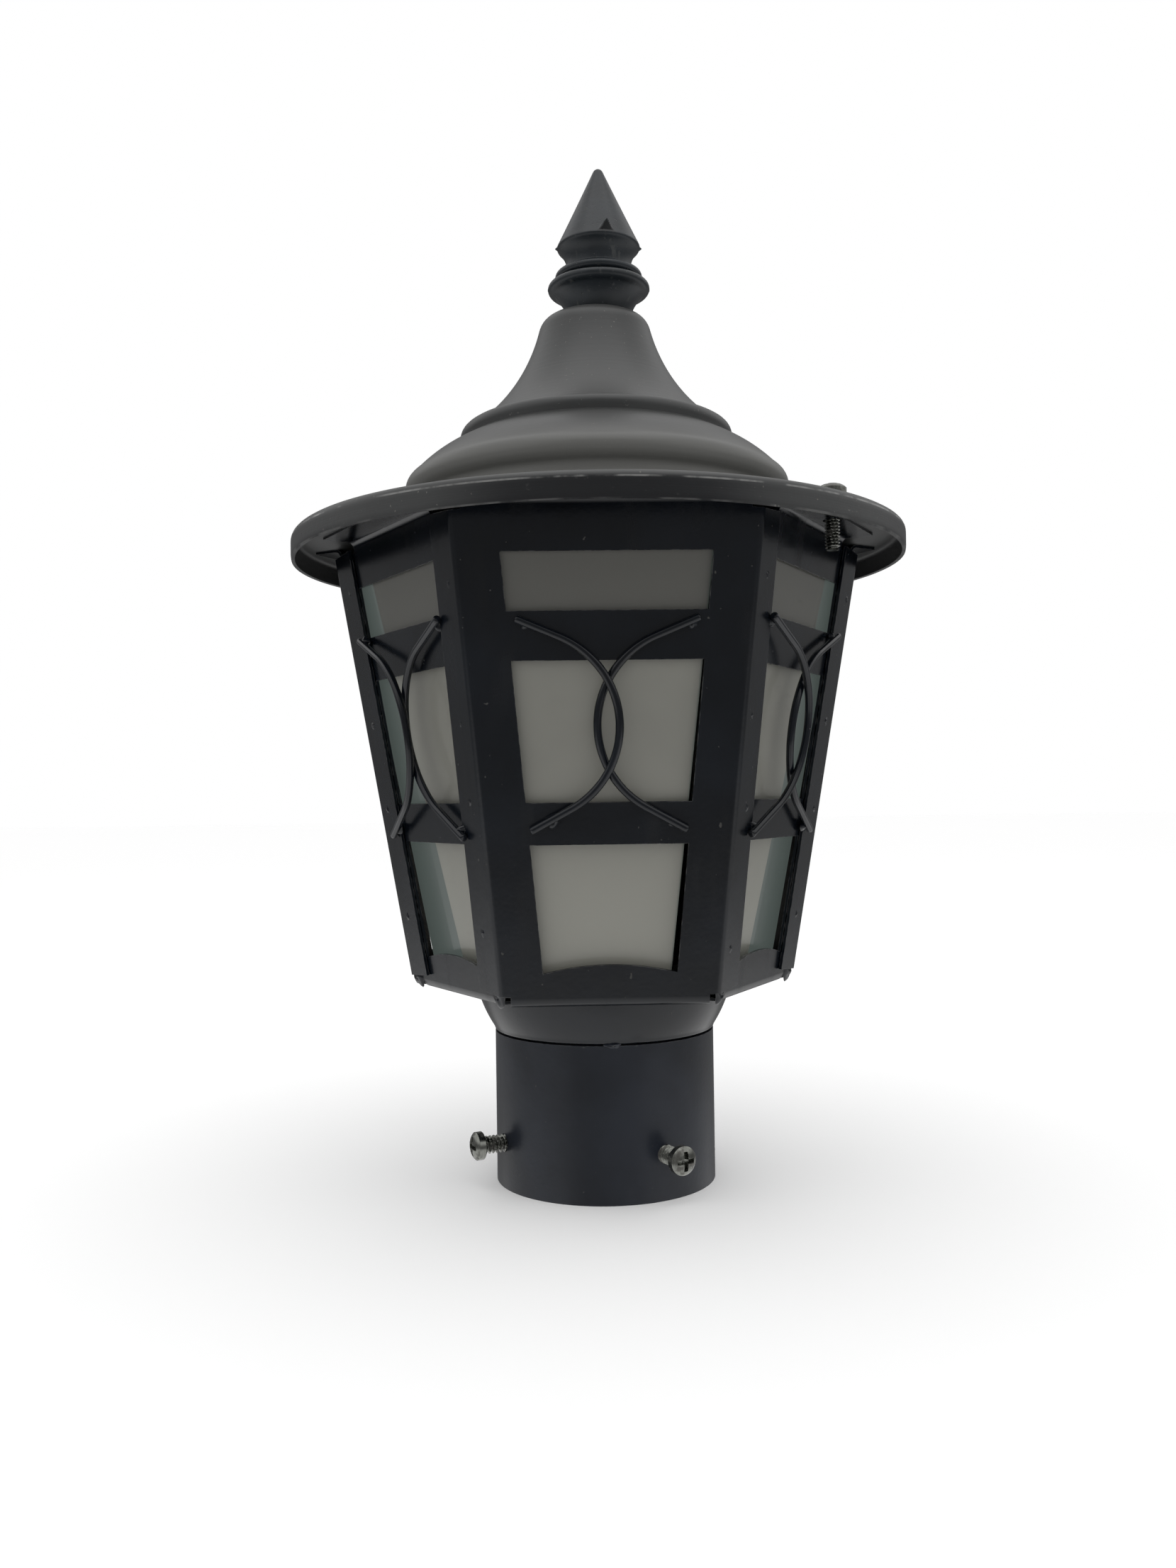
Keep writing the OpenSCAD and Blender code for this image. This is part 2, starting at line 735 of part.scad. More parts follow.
module set_screw(i) {
    color("silver")
        at_set_screw(i)
            translate([0, 0, sleeve_od / 2 + set_screw_out])
                lamp_screw(set_screw_l);
}

module roof_screws() {
    color("silver")
        for (side = ROOF_SCREW_SIDES)
            rotate([0, 0, 60 * side])
                translate([0, -roof_screw_r, brim_z])
                    lamp_screw(roof_screw_l);
}

// Spun roof, followed from the lip up to the hole under the finial
module roof_cap() {
    edge = 0.3;
    path = concat(
        [[brim_r, brim_z - lip_h], [brim_r, brim_z - lip_bend_r]],
        arc_points([brim_r - eps, brim_z - lip_bend_r + eps], [brim_r - lip_bend_r, brim_z],
            -0.29 * lip_bend_r, 6),
        arc_points([tier_low_r + cove_w, brim_z], [tier_low_r, brim_z + cove_h],
            0.24 * cove_w, 8),
        arc_points([tier_low_r - eps, brim_z + cove_h + 0.1], [tier_mid_r + edge, tier_mid_z],
            -tier_low_bulge, 12),
        arc_points([tier_mid_r, tier_mid_z + edge], [tier_top_r + edge, tier_top_z],
            -tier_mid_bulge, 8),
        arc_points([tier_top_r, tier_top_z + edge], [spire_foot_r + edge, spire_z],
            -tier_top_bulge, 10),
        arc_points([spire_foot_r, spire_z + edge], [spire_top_r, spire_top_z - shoulder_h - 0.1],
            spire_flare, 14),
        arc_points([spire_top_r - 0.05, spire_top_z - shoulder_h],
            [spire_top_r - shoulder_w, spire_top_z], -1, 6),
        [[finial_screw_d / 2 + hole_clear, spire_top_z]]
    );
    color("#484a4b")
        difference() {
            rotate_extrude($fn = 120)
                polygon(sheet_outline(path, roof_t));
            for (side = ROOF_SCREW_SIDES)
                rotate([0, 0, 60 * side])
                    translate([0, -roof_screw_r, brim_z])
                        cylinder(h = 4 * roof_t, r = screw_d / 2 + hole_clear, center = true);
        }
}

// Moulded finial: pointed cone, waist, ring, disc and neck, with a blind hole for its screw
module finial() {
    base_z = spire_top_z;
    disc_z = base_z + finial_foot_h;
    disc_top = disc_z + finial_disc_h;
    ring_z = disc_top + 0.6;
    ring_top = ring_z + finial_ring_h;
    waist_z = ring_top + 1;
    cone_z = base_z + finial_neck_h;
    tip_z = cone_z + finial_cone_h;
    hole_h = finial_screw_l - roof_t;
    rim_w = 0.3;
    groove_r = finial_ring_r - 1.6;
    path = concat(
        [[finial_neck_r + 0.1, base_z]],
        arc_points([finial_neck_r, base_z + 0.6], [finial_disc_r - 1.6, disc_z - 0.1], 0.5, 5),
        arc_points([finial_disc_r - 1, disc_z + 0.1], [finial_disc_r - 1.2, disc_top - 0.1],
            -0.45 * finial_disc_h, 8),
        [[groove_r, disc_top + 0.2], [groove_r, ring_z]],
        arc_points([finial_ring_r - 0.5, ring_z + 0.2], [finial_ring_r - 0.8, ring_top],
            -0.3 * finial_ring_h, 6),
        arc_points([finial_neck_r, waist_z], [finial_cone_r, cone_z - 4 * rim_w], 0.7, 8),
        [[finial_cone_r + rim_w, cone_z - 2 * rim_w], [finial_cone_r, cone_z]],
        arc_points([0.9, tip_z - 1.2], [eps, tip_z], -0.25, 4)
    );
    hole_r = finial_screw_d / 2 + thread_clear;
    color("#1b1d20")
        rotate_extrude()
            polygon(concat([[hole_r, base_z]], path, [[0, tip_z], [0, base_z + hole_h],
                [hole_r, base_z + hole_h]]));
}

washer_t = 0.8;
under_roof_z = spire_top_z - roof_t;

module finial_washer() {
    color("silver")
        translate([0, 0, under_roof_z - washer_t])
            difference() {
                cylinder(h = washer_t, r = finial_screw_d + 1);
                translate([0, 0, -eps])
                    cylinder(h = washer_t + 2 * eps, r = finial_screw_d / 2 + hole_clear);
            }
}

module finial_screw() {
    color("silver")
        translate([0, 0, under_roof_z - washer_t])
            mirror([0, 0, 1])
                small_screw(finial_screw_d, finial_screw_l);
}

// Moulded body of the lamp holder, open upwards for the lamp's cap
cap_clear = 0.1;
chamber_r = shell_r - 1.2;
tag_t = 0.4;
pocket_h = 2;

module holder_body() {
    body_h = holder_top_z - holder_z;
    edge = 1;
    cavity_r = shell_r + cap_clear;
    pocket_r = screw_head_d / screw_d * terminal_d / 2 + 0.6;
    color("#26282b")
        translate([0, 0, holder_z])
            difference() {
                rotate_extrude()
                    polygon([[0, 0], [holder_neck_r - edge, 0], [holder_neck_r, edge],
                        [holder_neck_r, holder_sink], [holder_flange_r, holder_sink],
                        [holder_flange_r, holder_sink + holder_flange_t - edge],
                        [holder_flange_r - edge, holder_sink + holder_flange_t],
                        [holder_r, holder_sink + holder_flange_t], [holder_r, body_h - edge],
                        [holder_r - edge, body_h], [cavity_r, body_h],
                        [cavity_r, holder_floor + chamber_h], [chamber_r, holder_floor + chamber_h],
                        [chamber_r, holder_floor], [0, holder_floor]]);
                for (side = [-1, 1]) {
                    translate([0, side * terminal_y, -eps])
                        cylinder(h = pocket_h + eps, r = pocket_r);
                    translate([0, side * terminal_y, 0])
                        cylinder(h = holder_floor + eps, r = terminal_d / 2 + hole_clear);
                    translate([side * holder_screw_x, 0, holder_sink - eps])
                        cylinder(h = holder_flange_t + 2 * eps, r = holder_screw_d / 2 + hole_clear);
                }
            }
}

// Screw shell for the lamp's cap, with a turned-in rim and a leg down to its terminal screw
module holder_shell() {
    shell_h = holder_top_z - shell_z - 1;
    rim_r = chamber_r - 0.6;
    leg_w = 4;
    foot_l = 2 * (rim_r - terminal_y);
    color("goldenrod")
        difference() {
            union() {
                translate([0, 0, shell_z])
                    difference() {
                        cylinder(h = shell_h, r = shell_r);
                        translate([0, 0, shell_t])
                            cylinder(h = shell_h, r = shell_r - shell_t);
                        translate([0, 0, -eps])
                            cylinder(h = 1, r = rim_r - tag_t);
                    }
                translate([-leg_w / 2, rim_r - tag_t, holder_floor_z])
                    cube([leg_w, tag_t, chamber_h + shell_t]);
                translate([-leg_w / 2, rim_r - foot_l, holder_floor_z])
                    cube([leg_w, foot_l, tag_t]);
            }
            translate([0, terminal_y, holder_floor_z - eps])
                cylinder(h = tag_t + 2 * eps, r = terminal_d / 2 + thread_clear);
        }
}

// Springy tongue that touches the lamp's centre contact
module holder_contact() {
    tongue_w = 4;
    rise = chamber_h - 1;
    foot_y = -terminal_y + 1.6;
    color("goldenrod")
        difference() {
            translate([0, 0, holder_floor_z])
                rotate([90, 0, 90])
                    linear_extrude(tongue_w, center = true)
                        polygon([[-terminal_y - 1.6, 0], [foot_y, 0], [0, rise], [2, rise],
                            [2, rise + tag_t], [-tag_t, rise + tag_t],
                            [foot_y - tag_t, tag_t], [-terminal_y - 1.6, tag_t]]);
            translate([0, -terminal_y, holder_floor_z - eps])
                cylinder(h = tag_t + 2 * eps, r = terminal_d / 2 + thread_clear);
        }
}

module terminal_screws() {
    color("silver")
        for (side = [-1, 1])
            translate([0, side * terminal_y, holder_z + pocket_h])
                mirror([0, 0, 1])
                    small_screw(terminal_d, holder_floor - pocket_h + 2 * tag_t);
}

holder_nut_h = 2.4;

module holder_screws() {
    color("silver")
        for (x = [-holder_screw_x, holder_screw_x])
            translate([x, 0, plate_top_z + holder_flange_t])
                small_screw(holder_screw_d, holder_flange_t + plate_t + holder_nut_h + 0.8);
}

module holder_nuts() {
    across_flats = 1.85 * holder_screw_d;
    color("silver")
        for (x = [-holder_screw_x, holder_screw_x])
            translate([x, 0, plate_z - holder_nut_h])
                hex_nut(holder_screw_d, holder_nut_h, across_flats);
}

finial();
finial_screw();
finial_washer();
roof_cap();
roof_screws();
flanged_panel(FRONT);  // panel_front
plain_panel(RIGHT);  // panel_right
flanged_panel(BACK_RIGHT);  // panel_back_right
plain_panel(BACK);  // panel_back
flanged_panel(BACK_LEFT);  // panel_back_left
plain_panel(LEFT);  // panel_left
pane(FRONT, front_pane_lap, front_pane_shift, front_pane_turn);  // pane_front
pane(RIGHT);  // pane_right
pane(BACK_RIGHT);  // pane_back_right
pane(BACK);  // pane_back
pane(BACK_LEFT);  // pane_back_left
pane(LEFT);  // pane_left
rod_under(FRONT);  // rod_under_front
rod_under(RIGHT);  // rod_under_right
rod_under(BACK_RIGHT);  // rod_under_back_right
rod_under(BACK);  // rod_under_back
rod_under(BACK_LEFT);  // rod_under_back_left
rod_under(LEFT);  // rod_under_left
rod_over(FRONT);  // rod_over_front
rod_over(RIGHT);  // rod_over_right
rod_over(BACK_RIGHT);  // rod_over_back_right
rod_over(BACK);  // rod_over_back
rod_over(BACK_LEFT);  // rod_over_back_left
rod_over(LEFT);  // rod_over_left
pane_clips();
pane_stops();
base_plate();
neck_cup();
sleeve();
set_screw(0);  // set_screw_left
set_screw(1);  // set_screw_right
holder_body();
holder_shell();
holder_contact();
terminal_screws();
holder_screws();
holder_nuts();
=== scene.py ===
"""Finish, fine forms and studio of the pillar lamp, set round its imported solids.

Lengths in the functions are millimetres in the lamp's own frame: the axis is Z, the sleeve's
open end is at height 0 and the front panel looks towards -Y. Meshes are written in metres.
"""
import math

import bpy
import numpy as np
from mathutils import Matrix, Vector


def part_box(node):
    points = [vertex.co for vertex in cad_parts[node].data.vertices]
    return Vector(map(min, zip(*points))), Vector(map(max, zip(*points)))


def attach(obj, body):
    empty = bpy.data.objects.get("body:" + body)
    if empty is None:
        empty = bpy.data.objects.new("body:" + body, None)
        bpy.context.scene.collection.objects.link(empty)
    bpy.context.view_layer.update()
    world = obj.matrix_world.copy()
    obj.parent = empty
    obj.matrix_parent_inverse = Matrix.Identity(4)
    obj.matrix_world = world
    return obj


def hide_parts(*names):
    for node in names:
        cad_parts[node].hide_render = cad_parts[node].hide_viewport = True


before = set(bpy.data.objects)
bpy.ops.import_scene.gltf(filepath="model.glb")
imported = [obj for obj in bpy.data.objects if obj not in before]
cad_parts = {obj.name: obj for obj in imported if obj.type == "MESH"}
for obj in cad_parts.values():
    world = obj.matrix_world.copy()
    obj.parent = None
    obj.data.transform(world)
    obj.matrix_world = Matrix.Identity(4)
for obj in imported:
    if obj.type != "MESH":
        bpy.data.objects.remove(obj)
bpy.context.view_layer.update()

bl_info = {
    "name": "Pillar lamp finish",
    "version": (1, 0, 0),
    "blender": (4, 5, 0),
    "location": "View3D > Sidebar > Lamp",
    "description": "Paint, glass, screws, welds and studio for the pillar lamp",
    "category": "Object",
}

MM = 0.001
LANTERN = "lantern"
SIDES = ("front", "right", "back_right", "back", "back_left", "left")
PLAIN_SIDES = ("right", "back", "left")
SIDE_TURN = math.radians(60)
APOTHEM_SHARE = math.cos(math.radians(30))


# Curves and surfaces

def arc(start, end, bulge, steps):
    """Points of a circular arc from start to end: centre + radius (cos t, sin t).

    The middle of the arc stands off the chord by bulge, to the left of travel."""
    start, end = np.array(start, float), np.array(end, float)
    chord = end - start
    span = math.hypot(*chord)
    radius = (span * span / 4 + bulge * bulge) / (2 * abs(bulge))
    way = math.copysign(1, bulge)
    left = np.array([-chord[1], chord[0]]) / span
    centre = (start + end) / 2 + left * (bulge - way * radius)
    first = math.atan2(*(start - centre)[::-1])
    sweep = -way * 2 * math.asin(min(1, span / 2 / radius))
    t = first + sweep * np.linspace(0, 1, steps + 1)
    return centre + radius * np.column_stack([np.cos(t), np.sin(t)])


def raised_arcs(table, height):
    """The arcs of a table of starts, ends, bulges and numbers of steps, raised by a height."""
    return [arc(start, end, bulge, steps) + [0, height] for start, end, bulge, steps in table]


def resampled(path, step):
    """The same line with points a step apart, by linear interpolation over its length."""
    gaps = np.hypot(*np.diff(path, axis=0).T)
    run = np.concatenate([[0], np.cumsum(gaps)])
    along = np.linspace(0, run[-1], max(2, int(run[-1] / step)))
    return np.column_stack([np.interp(along, run, path[:, i]) for i in range(path.shape[1])])


def softened(path, passes):
    """Each inner point moves to a quarter of its neighbours' sum plus half of itself."""
    path = path.copy()
    for _ in range(passes):
        path[1:-1] = path[:-2] / 4 + path[1:-1] / 2 + path[2:] / 4
    return path


def offset(path, distance):
    """The line moved to the left of travel by distance along the mean of its steps' normals."""
    steps = np.diff(path, axis=0)
    normals = np.column_stack([-steps[:, 1], steps[:, 0]])
    normals /= np.linalg.norm(normals, axis=1)[:, None]
    mean = np.vstack([normals[:1], normals[:-1] + normals[1:], normals[-1:]])
    mean *= 2 / np.sum(mean * mean, axis=1)[:, None]
    mean[[0, -1]] = normals[[0, -1]]
    return path + distance * mean


def grid_faces(rows, columns, close_rows=False):
    """Quads between neighbours in a grid of points stored row by row, with closed rows."""
    i = np.arange(rows if close_rows else rows - 1)[:, None]
    j = np.arange(columns)[None, :]
    below, above = i * columns, (i + 1) % rows * columns
    beside = (j + 1) % columns
    corners = below + j, below + beside, above + beside, above + j
    return np.stack(np.broadcast_arrays(*corners), -1).reshape(-1, 4).tolist()


def cap_faces(first, columns, pole, ahead):
    """Triangles from the ring of columns points that starts at first to one pole."""
    ring = np.arange(columns) + first
    following = np.roll(ring, -1)
    poles = np.full(columns, pole)
    order = (ring, following, poles) if ahead else (following, ring, poles)
    return np.column_stack(order).tolist()


def capped(rings, poles):
    """The surface through rings of points with a pole at each end, as points and faces."""
    count, columns = rings.shape[:2]
    total = count * columns
    faces = [*grid_faces(count, columns), *cap_faces(0, columns, total, False),
             *cap_faces(total - columns, columns, total + 1, True)]
    return np.vstack([rings.reshape(-1, 3), poles]), faces


def full_turn(columns):
    """Evenly spaced angles round the whole circle."""
    return np.linspace(0, 2 * np.pi, columns, endpoint=False)


def turned(profile, columns, shape=None):
    """Surface (r cos t, r sin t, z) of a profile of radius and height at columns of angles t.

    shape(r, z, t) gives the radius and height that are used, for marks on the form. An end of
    the profile on the axis becomes a pole, and a profile with no such end is closed into a
    loop. Returns points and faces."""
    poles = [abs(profile[0, 0]) < 1e-6, abs(profile[-1, 0]) < 1e-6]
    rows = profile[1 if poles[0] else 0: -1 if poles[1] else None]
    r = np.repeat(rows[:, :1], columns, 1)
    z = np.repeat(rows[:, 1:], columns, 1)
    t = np.broadcast_to(full_turn(columns), r.shape)
    if shape:
        r, z = shape(r, z, t)
    points = np.stack([r * np.cos(t), r * np.sin(t), z], -1).reshape(-1, 3)
    faces = grid_faces(len(rows), columns, close_rows=not any(poles))
    if poles[0]:
        faces += cap_faces(0, columns, len(points), False)
        points = np.vstack([points, [0, 0, profile[0, 1]]])
    if poles[1]:
        faces += cap_faces((len(rows) - 1) * columns, columns, len(points), True)
        points = np.vstack([points, [0, 0, profile[-1, 1]]])
    return points, faces


ASKEW = (0.3, 0.5, 0.8)


def tube(path, radius, columns):
    """Round bar: circles of radius about each point of path, in the planes across it.

    Every plane's first direction comes from one vector askew to the path, and both ends close
    in a flat cut with a bevelled edge. radius is one number a point."""
    ahead = np.gradient(path, axis=0)
    ahead /= np.linalg.norm(ahead, axis=1)[:, None]
    side = np.cross(ahead, np.cross(ahead[0], ASKEW))
    side /= np.linalg.norm(side, axis=1)[:, None]
    other = np.cross(ahead, side)
    t = full_turn(columns)[None, :, None]
    across = side[:, None] * np.cos(t) + other[:, None] * np.sin(t)
    rings = path[:, None] + across * radius[:, None, None]
    edge = 0.2
    cuts = [(rings[0] - path[0]) * (1 - edge) + path[0] - ahead[0] * edge * radius[0],
            (rings[-1] - path[-1]) * (1 - edge) + path[-1] + ahead[-1] * edge * radius[-1]]
    rings = np.concatenate([cuts[:1], rings, cuts[1:]])
    return capped(rings, [cuts[0].mean(0), cuts[1].mean(0)])


def outward(points, faces):
    """The faces, each turned round if the volume that they enclose comes out negative."""
    corners = np.array([face[:3] for face in faces])
    a, b, c = (points[corners[:, i]] for i in range(3))
    volume = np.sum(a * np.cross(b, c))
    quads = [face for face in faces if len(face) == 4]
    if quads:
        corners = np.array(quads)
        a, b, c = points[corners[:, 0]], points[corners[:, 2]], points[corners[:, 3]]
        volume += np.sum(a * np.cross(b, c))
    return faces if volume > 0 else [face[::-1] for face in faces]


def joined(parts):
    """One list of points and one of faces from several."""
    points, faces, first = [], [], 0
    for more_points, more_faces in parts:
        points.append(more_points)
        faces += [[i + first for i in face] for face in outward(more_points, more_faces)]
        first += len(more_points)
    return np.vstack(points), faces


def add_piece(name, shape, finish, slot=None, body=LANTERN, replaces=(), crease=38):
    """A mesh object of this name that rides on a body, with smooth faces up to the crease angle.

    The slot argument is not used."""
    points, faces = shape
    mesh = bpy.data.meshes.new(name)
    mesh.from_pydata((points * MM).tolist(), [], outward(points, faces))
    mesh.shade_smooth()
    mesh.set_sharp_from_angle(angle=math.radians(crease))
    mesh.materials.append(finishes()[finish])
    piece = bpy.data.objects.new(name, mesh)
    bpy.context.scene.collection.objects.link(piece)
    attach(piece, body)
    slot = slot or finish
    if replaces:
        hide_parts(*replaces)


# Places on the lamp

def setting_names(group):
    """The names of a group's own properties."""
    return [name for name in group.bl_rna.properties.keys() if name not in ("rna_type", "name")]


def sizes():
    """The sizes of the lamp's forms, in millimetres."""
    group = bpy.context.scene.pillar_lamp_sizes
    return {name: getattr(group, name) / MM for name in setting_names(group)}


def lean_angle(size):
    """How far a side leans out: the slope from its lower to its upper apothem."""
    rise = (size["corner_top"] - size["corner_bottom"]) * APOTHEM_SHARE
    return math.atan2(rise, size["panel_height"])


def on_side(side, local, size):
    """Points given across a side, up its slope and out of it, carried to the lamp's frame."""
    turn, lean = SIDE_TURN * SIDES.index(side), lean_angle(size)
    out = np.array([0, -math.cos(lean), -math.sin(lean)])
    up = np.array([0, -math.sin(lean), math.cos(lean)])
    foot = np.array([0, -size["corner_bottom"] * APOTHEM_SHARE, size["panel_foot"]])
    flat = foot + local[..., :1] * [1, 0, 0] + local[..., 1:2] * up + local[..., 2:] * out
    return turned_about_axis(flat, turn)


def turned_about_axis(points, turn):
    """Points turned about the lamp's axis by an angle in radians."""
    c, s = math.cos(turn), math.sin(turn)
    return points @ np.array([[c, s, 0], [-s, c, 0], [0, 0, 1]])


def directions(turn):
    """The directions out of the axis and across, at an angle in degrees from the front."""
    c, s = math.cos(math.radians(turn)), math.sin(math.radians(turn))
    return np.array([s, -c, 0]), np.array([c, s, 0])


def half_side(height, size):
    """Half of a side's width at a height above the panels' foot."""
    share = height / size["panel_height"]
    return (size["corner_bottom"] + (size["corner_top"] - size["corner_bottom"]) * share) / 2


# Shader maths

class Value:
    """A shader socket in Python sums: each operator on values adds a Math node."""

    def __init__(self, graph, socket):
        self.graph, self.socket = graph, socket

    def _with(self, operation, *others):
        return self.graph.node("Math", {"operation": operation}, [self, *others])

    def __add__(self, other):
        return self._with("ADD", other)

    __radd__ = __add__

    def __sub__(self, other):
        return self._with("SUBTRACT", other)

    def __rsub__(self, other):
        return self.graph.node("Math", {"operation": "SUBTRACT"}, [other, self])

    def __mul__(self, other):
        return self._with("MULTIPLY", other)

    __rmul__ = __mul__

    def largest(self, other):
        """The larger of two values."""
        return self._with("MAXIMUM", other)

    def size(self):
        """The value without its sign."""
        return self._with("ABSOLUTE")

    def between(self, low, high):
        """0 below low and 1 above high, with a smooth step between."""
        return self.graph.node("MapRange", {"interpolation_type": "SMOOTHSTEP"},
                               [self, low, high, 0.0, 1.0])


class Graph:
    """A node tree that is filled through Values."""

    def __init__(self, owner):
        owner.use_nodes = True
        self.tree = owner.node_tree
        self.tree.nodes.clear()

    def node(self, kind, settings, sockets, output=0):
        """Adds a shader node, sets it, fills its sockets and returns one output as a Value."""
        node = self.tree.nodes.new(f"ShaderNode{kind}")
        for name, value in settings.items():
            setattr(node, name, value)
        pairs = sockets.items() if isinstance(sockets, dict) else enumerate(sockets)
        for key, value in pairs:
            self.feed(node.inputs[key], value)
        return None if output is None else Value(self, node.outputs[output])

    def feed(self, socket, value):
        """Links a Value to a socket, or sets the socket to a number or colour."""
        if isinstance(value, Value):
            self.tree.links.new(value.socket, socket)
        elif isinstance(value, (tuple, list)) and socket.type == "RGBA":
            socket.default_value = (*value[:3], 1.0)
        else:
            socket.default_value = value

    def blended(self, factor, first, second):
        """The first colour where the factor is 0 and the second where it is 1."""
        sockets = {0: factor, 6: first, 7: second}
        return self.node("Mix", {"data_type": "RGBA"}, sockets, 2)


class Finish(Graph):
    """A node material under construction, and the shader that its values feed."""

    def __init__(self, name):
        self.material = bpy.data.materials.new(name)
        super().__init__(self.material)
        self.shader = self.tree.nodes.new("ShaderNodeBsdfPrincipled")
        end = self.tree.nodes.new("ShaderNodeOutputMaterial")
        self.tree.links.new(self.shader.outputs[0], end.inputs["Surface"])
        self.place = self.node("TexCoord", {}, {}, "Object")

    def noise(self, scale, detail, place=None):
        """Cloudy values about one half, with features of about 1 / scale metres."""
        sockets = {"Vector": place or self.place, "Scale": scale, "Detail": detail}
        return self.node("TexNoise", {}, sockets)

    def stretched(self, x, y, z):
        """The object's coordinates with each axis multiplied."""
        return self.node("Mapping", {}, {"Vector": self.place, "Scale": (x, y, z)})

    def axis(self, index):
        """One of the object's coordinates, in metres."""
        return self.node("SeparateXYZ", {}, [self.place], index)

    def radius(self):
        """The distance from the lamp's axis, in metres."""
        flat = self.stretched(1, 1, 0)
        return self.node("VectorMath", {"operation": "LENGTH"}, [flat], "Value")

    def facing(self, index):
        """One component of the surface's own direction."""
        normal = self.node("NewGeometry", {}, {}, "Normal")
        return self.node("SeparateXYZ", {}, [normal], index)

    def edges(self, width):
        """1 at sharp edges and 0 on flat faces, from the normal's turn over a width in metres."""
        soft = self.node("Bevel", {"samples": 6}, {"Radius": width})
        true = self.node("NewGeometry", {}, {}, "True Normal")
        dot = {"operation": "DOT_PRODUCT"}
        same = self.node("VectorMath", dot, [soft, true], "Value")
        return (1.0 - same).between(0.02, 0.22)

    def bump(self, height, distance):
        """Normals of a height of the given distance in metres."""
        return self.node("Bump", {}, {"Height": height, "Distance": distance})

    def finished(self, **sockets):
        """Feeds the shader's sockets, named with underscores, and returns the material."""
        for name, value in sockets.items():
            self.feed(self.shader.inputs[name.replace("_", " ")], value)
        return self.material


def shaded(colour, factor):
    """A colour made darker or lighter by a factor."""
    return tuple(channel * factor for channel in colour)


# Colours that don't change with the settings
DUST_SPECK = (0.12, 0.115, 0.1)
RUBBED_ENAMEL = (0.16, 0.16, 0.155)
SETTLED_DUST = (0.11, 0.11, 0.105)
# Paler colour for the roof's cove and low tier
PALER_LOW_ROOF = (0.125, 0.125, 0.117)
BRIGHT_SPECK = (0.22, 0.21, 0.19)
# Painted shade for the brim's turned-down lip
LIP_PAINTED_SHADE = (0.004, 0.0045, 0.006)
BARED_BRIM = (0.17, 0.17, 0.165)
SCUFFED_PLASTIC = (0.09, 0.09, 0.085)
GLASS_EDGE = (0.05, 0.09, 0.075)
# Painted reflection of the frame in a side pane's glass
STRIP_PAINTED_REFLECTION = (0.026, 0.032, 0.03)
# Painted light: a faint emission in a side pane's reflection strip
STRIP_PAINTED_GLOW = (0.056, 0.068, 0.063)
GRIME = (0.05, 0.045, 0.04)
STEEL = (0.23, 0.235, 0.215)
ZINC = (0.14, 0.14, 0.14)
BRASS = (0.62, 0.45, 0.18)
HOLDER_BLACK = (0.012, 0.012, 0.013)

# Bands of the roof's paint and of the painted shade and light on its lip, in metres: each pair is
# where a change starts and ends
DOME_FADE_HEIGHT = (0.187, 0.196)
COVE_FADE_RADIUS = (0.056, 0.062)
LIP_RADIUS = (0.0812, 0.0822)
LIP_TOP_HEIGHT = (0.173, 0.1742)
LIP_SIDE_START = (0.02, 0.045)
LIP_SIDE_END = (0.06, 0.076)
WORN_LINE_START = (0.1729, 0.17305)
WORN_LINE_END = (0.1733, 0.1735)
LIP_FOOT_HEIGHT = (0.1684, 0.1686)
WORN_RADIUS = (0.0822, 0.0828)

# Where shade is painted on the gate tab's upright face on the finial's front, in metres
GATE_FOOT_HEIGHT = 0.2569
GATE_HEIGHT = 0.0038
GATE_CENTRE = 0.00315
GATE_NARROWING = 0.0027
GATE_EDGE = (0.0023, 0.0027)

# Bands of the panes' painted light and shade, in metres, and the painted reflection strip along a
# side pane's rear edge
PANE_FOOT_PAINTED_LIGHT = (0.07, 0.125)
PANE_TOP_PAINTED_SHADE = (0.134, 0.15)
STRIP_DEPTH = 0.0145
STRIP_TOP_HEIGHT = 0.155
STRIP_SLOPE = 0.065
STRIP_EDGE = (0.0, 0.0004)
STRIP_END_DEPTH = (0.0, 0.001)


def enamel(name, colour, roughness, wear, ripple):
    """Sprayed gloss enamel: fine peel, a slow ripple, dust specks and worn sharp edges."""
    f = Finish(name)
    cloud = f.noise(38, 3)
    peel = f.noise(950, 2)
    specks = f.noise(700, 1).between(0.77, 0.8)
    smears = f.noise(30, 4, f.stretched(5, 5, 0.8)).between(0.52, 0.75)
    base = f.blended(cloud.between(0.3, 0.7), shaded(colour, 0.75), shaded(colour, 1.35))
    base = f.blended(specks * 0.25, base, DUST_SPECK)
    rub = f.edges(0.0003) * f.noise(420, 2).between(0.42, 0.62) * wear
    base = f.blended(rub, base, RUBBED_ENAMEL)
    height = peel * 0.35 + cloud * ripple + f.noise(190, 2) * 0.6
    return f.finished(
        Base_Color=base,
        Roughness=roughness + smears * 0.1 + specks * 0.25 + cloud * 0.06 - 0.03,
        Specular_IOR_Level=0.42,
        Normal=f.bump(height, 0.00005))


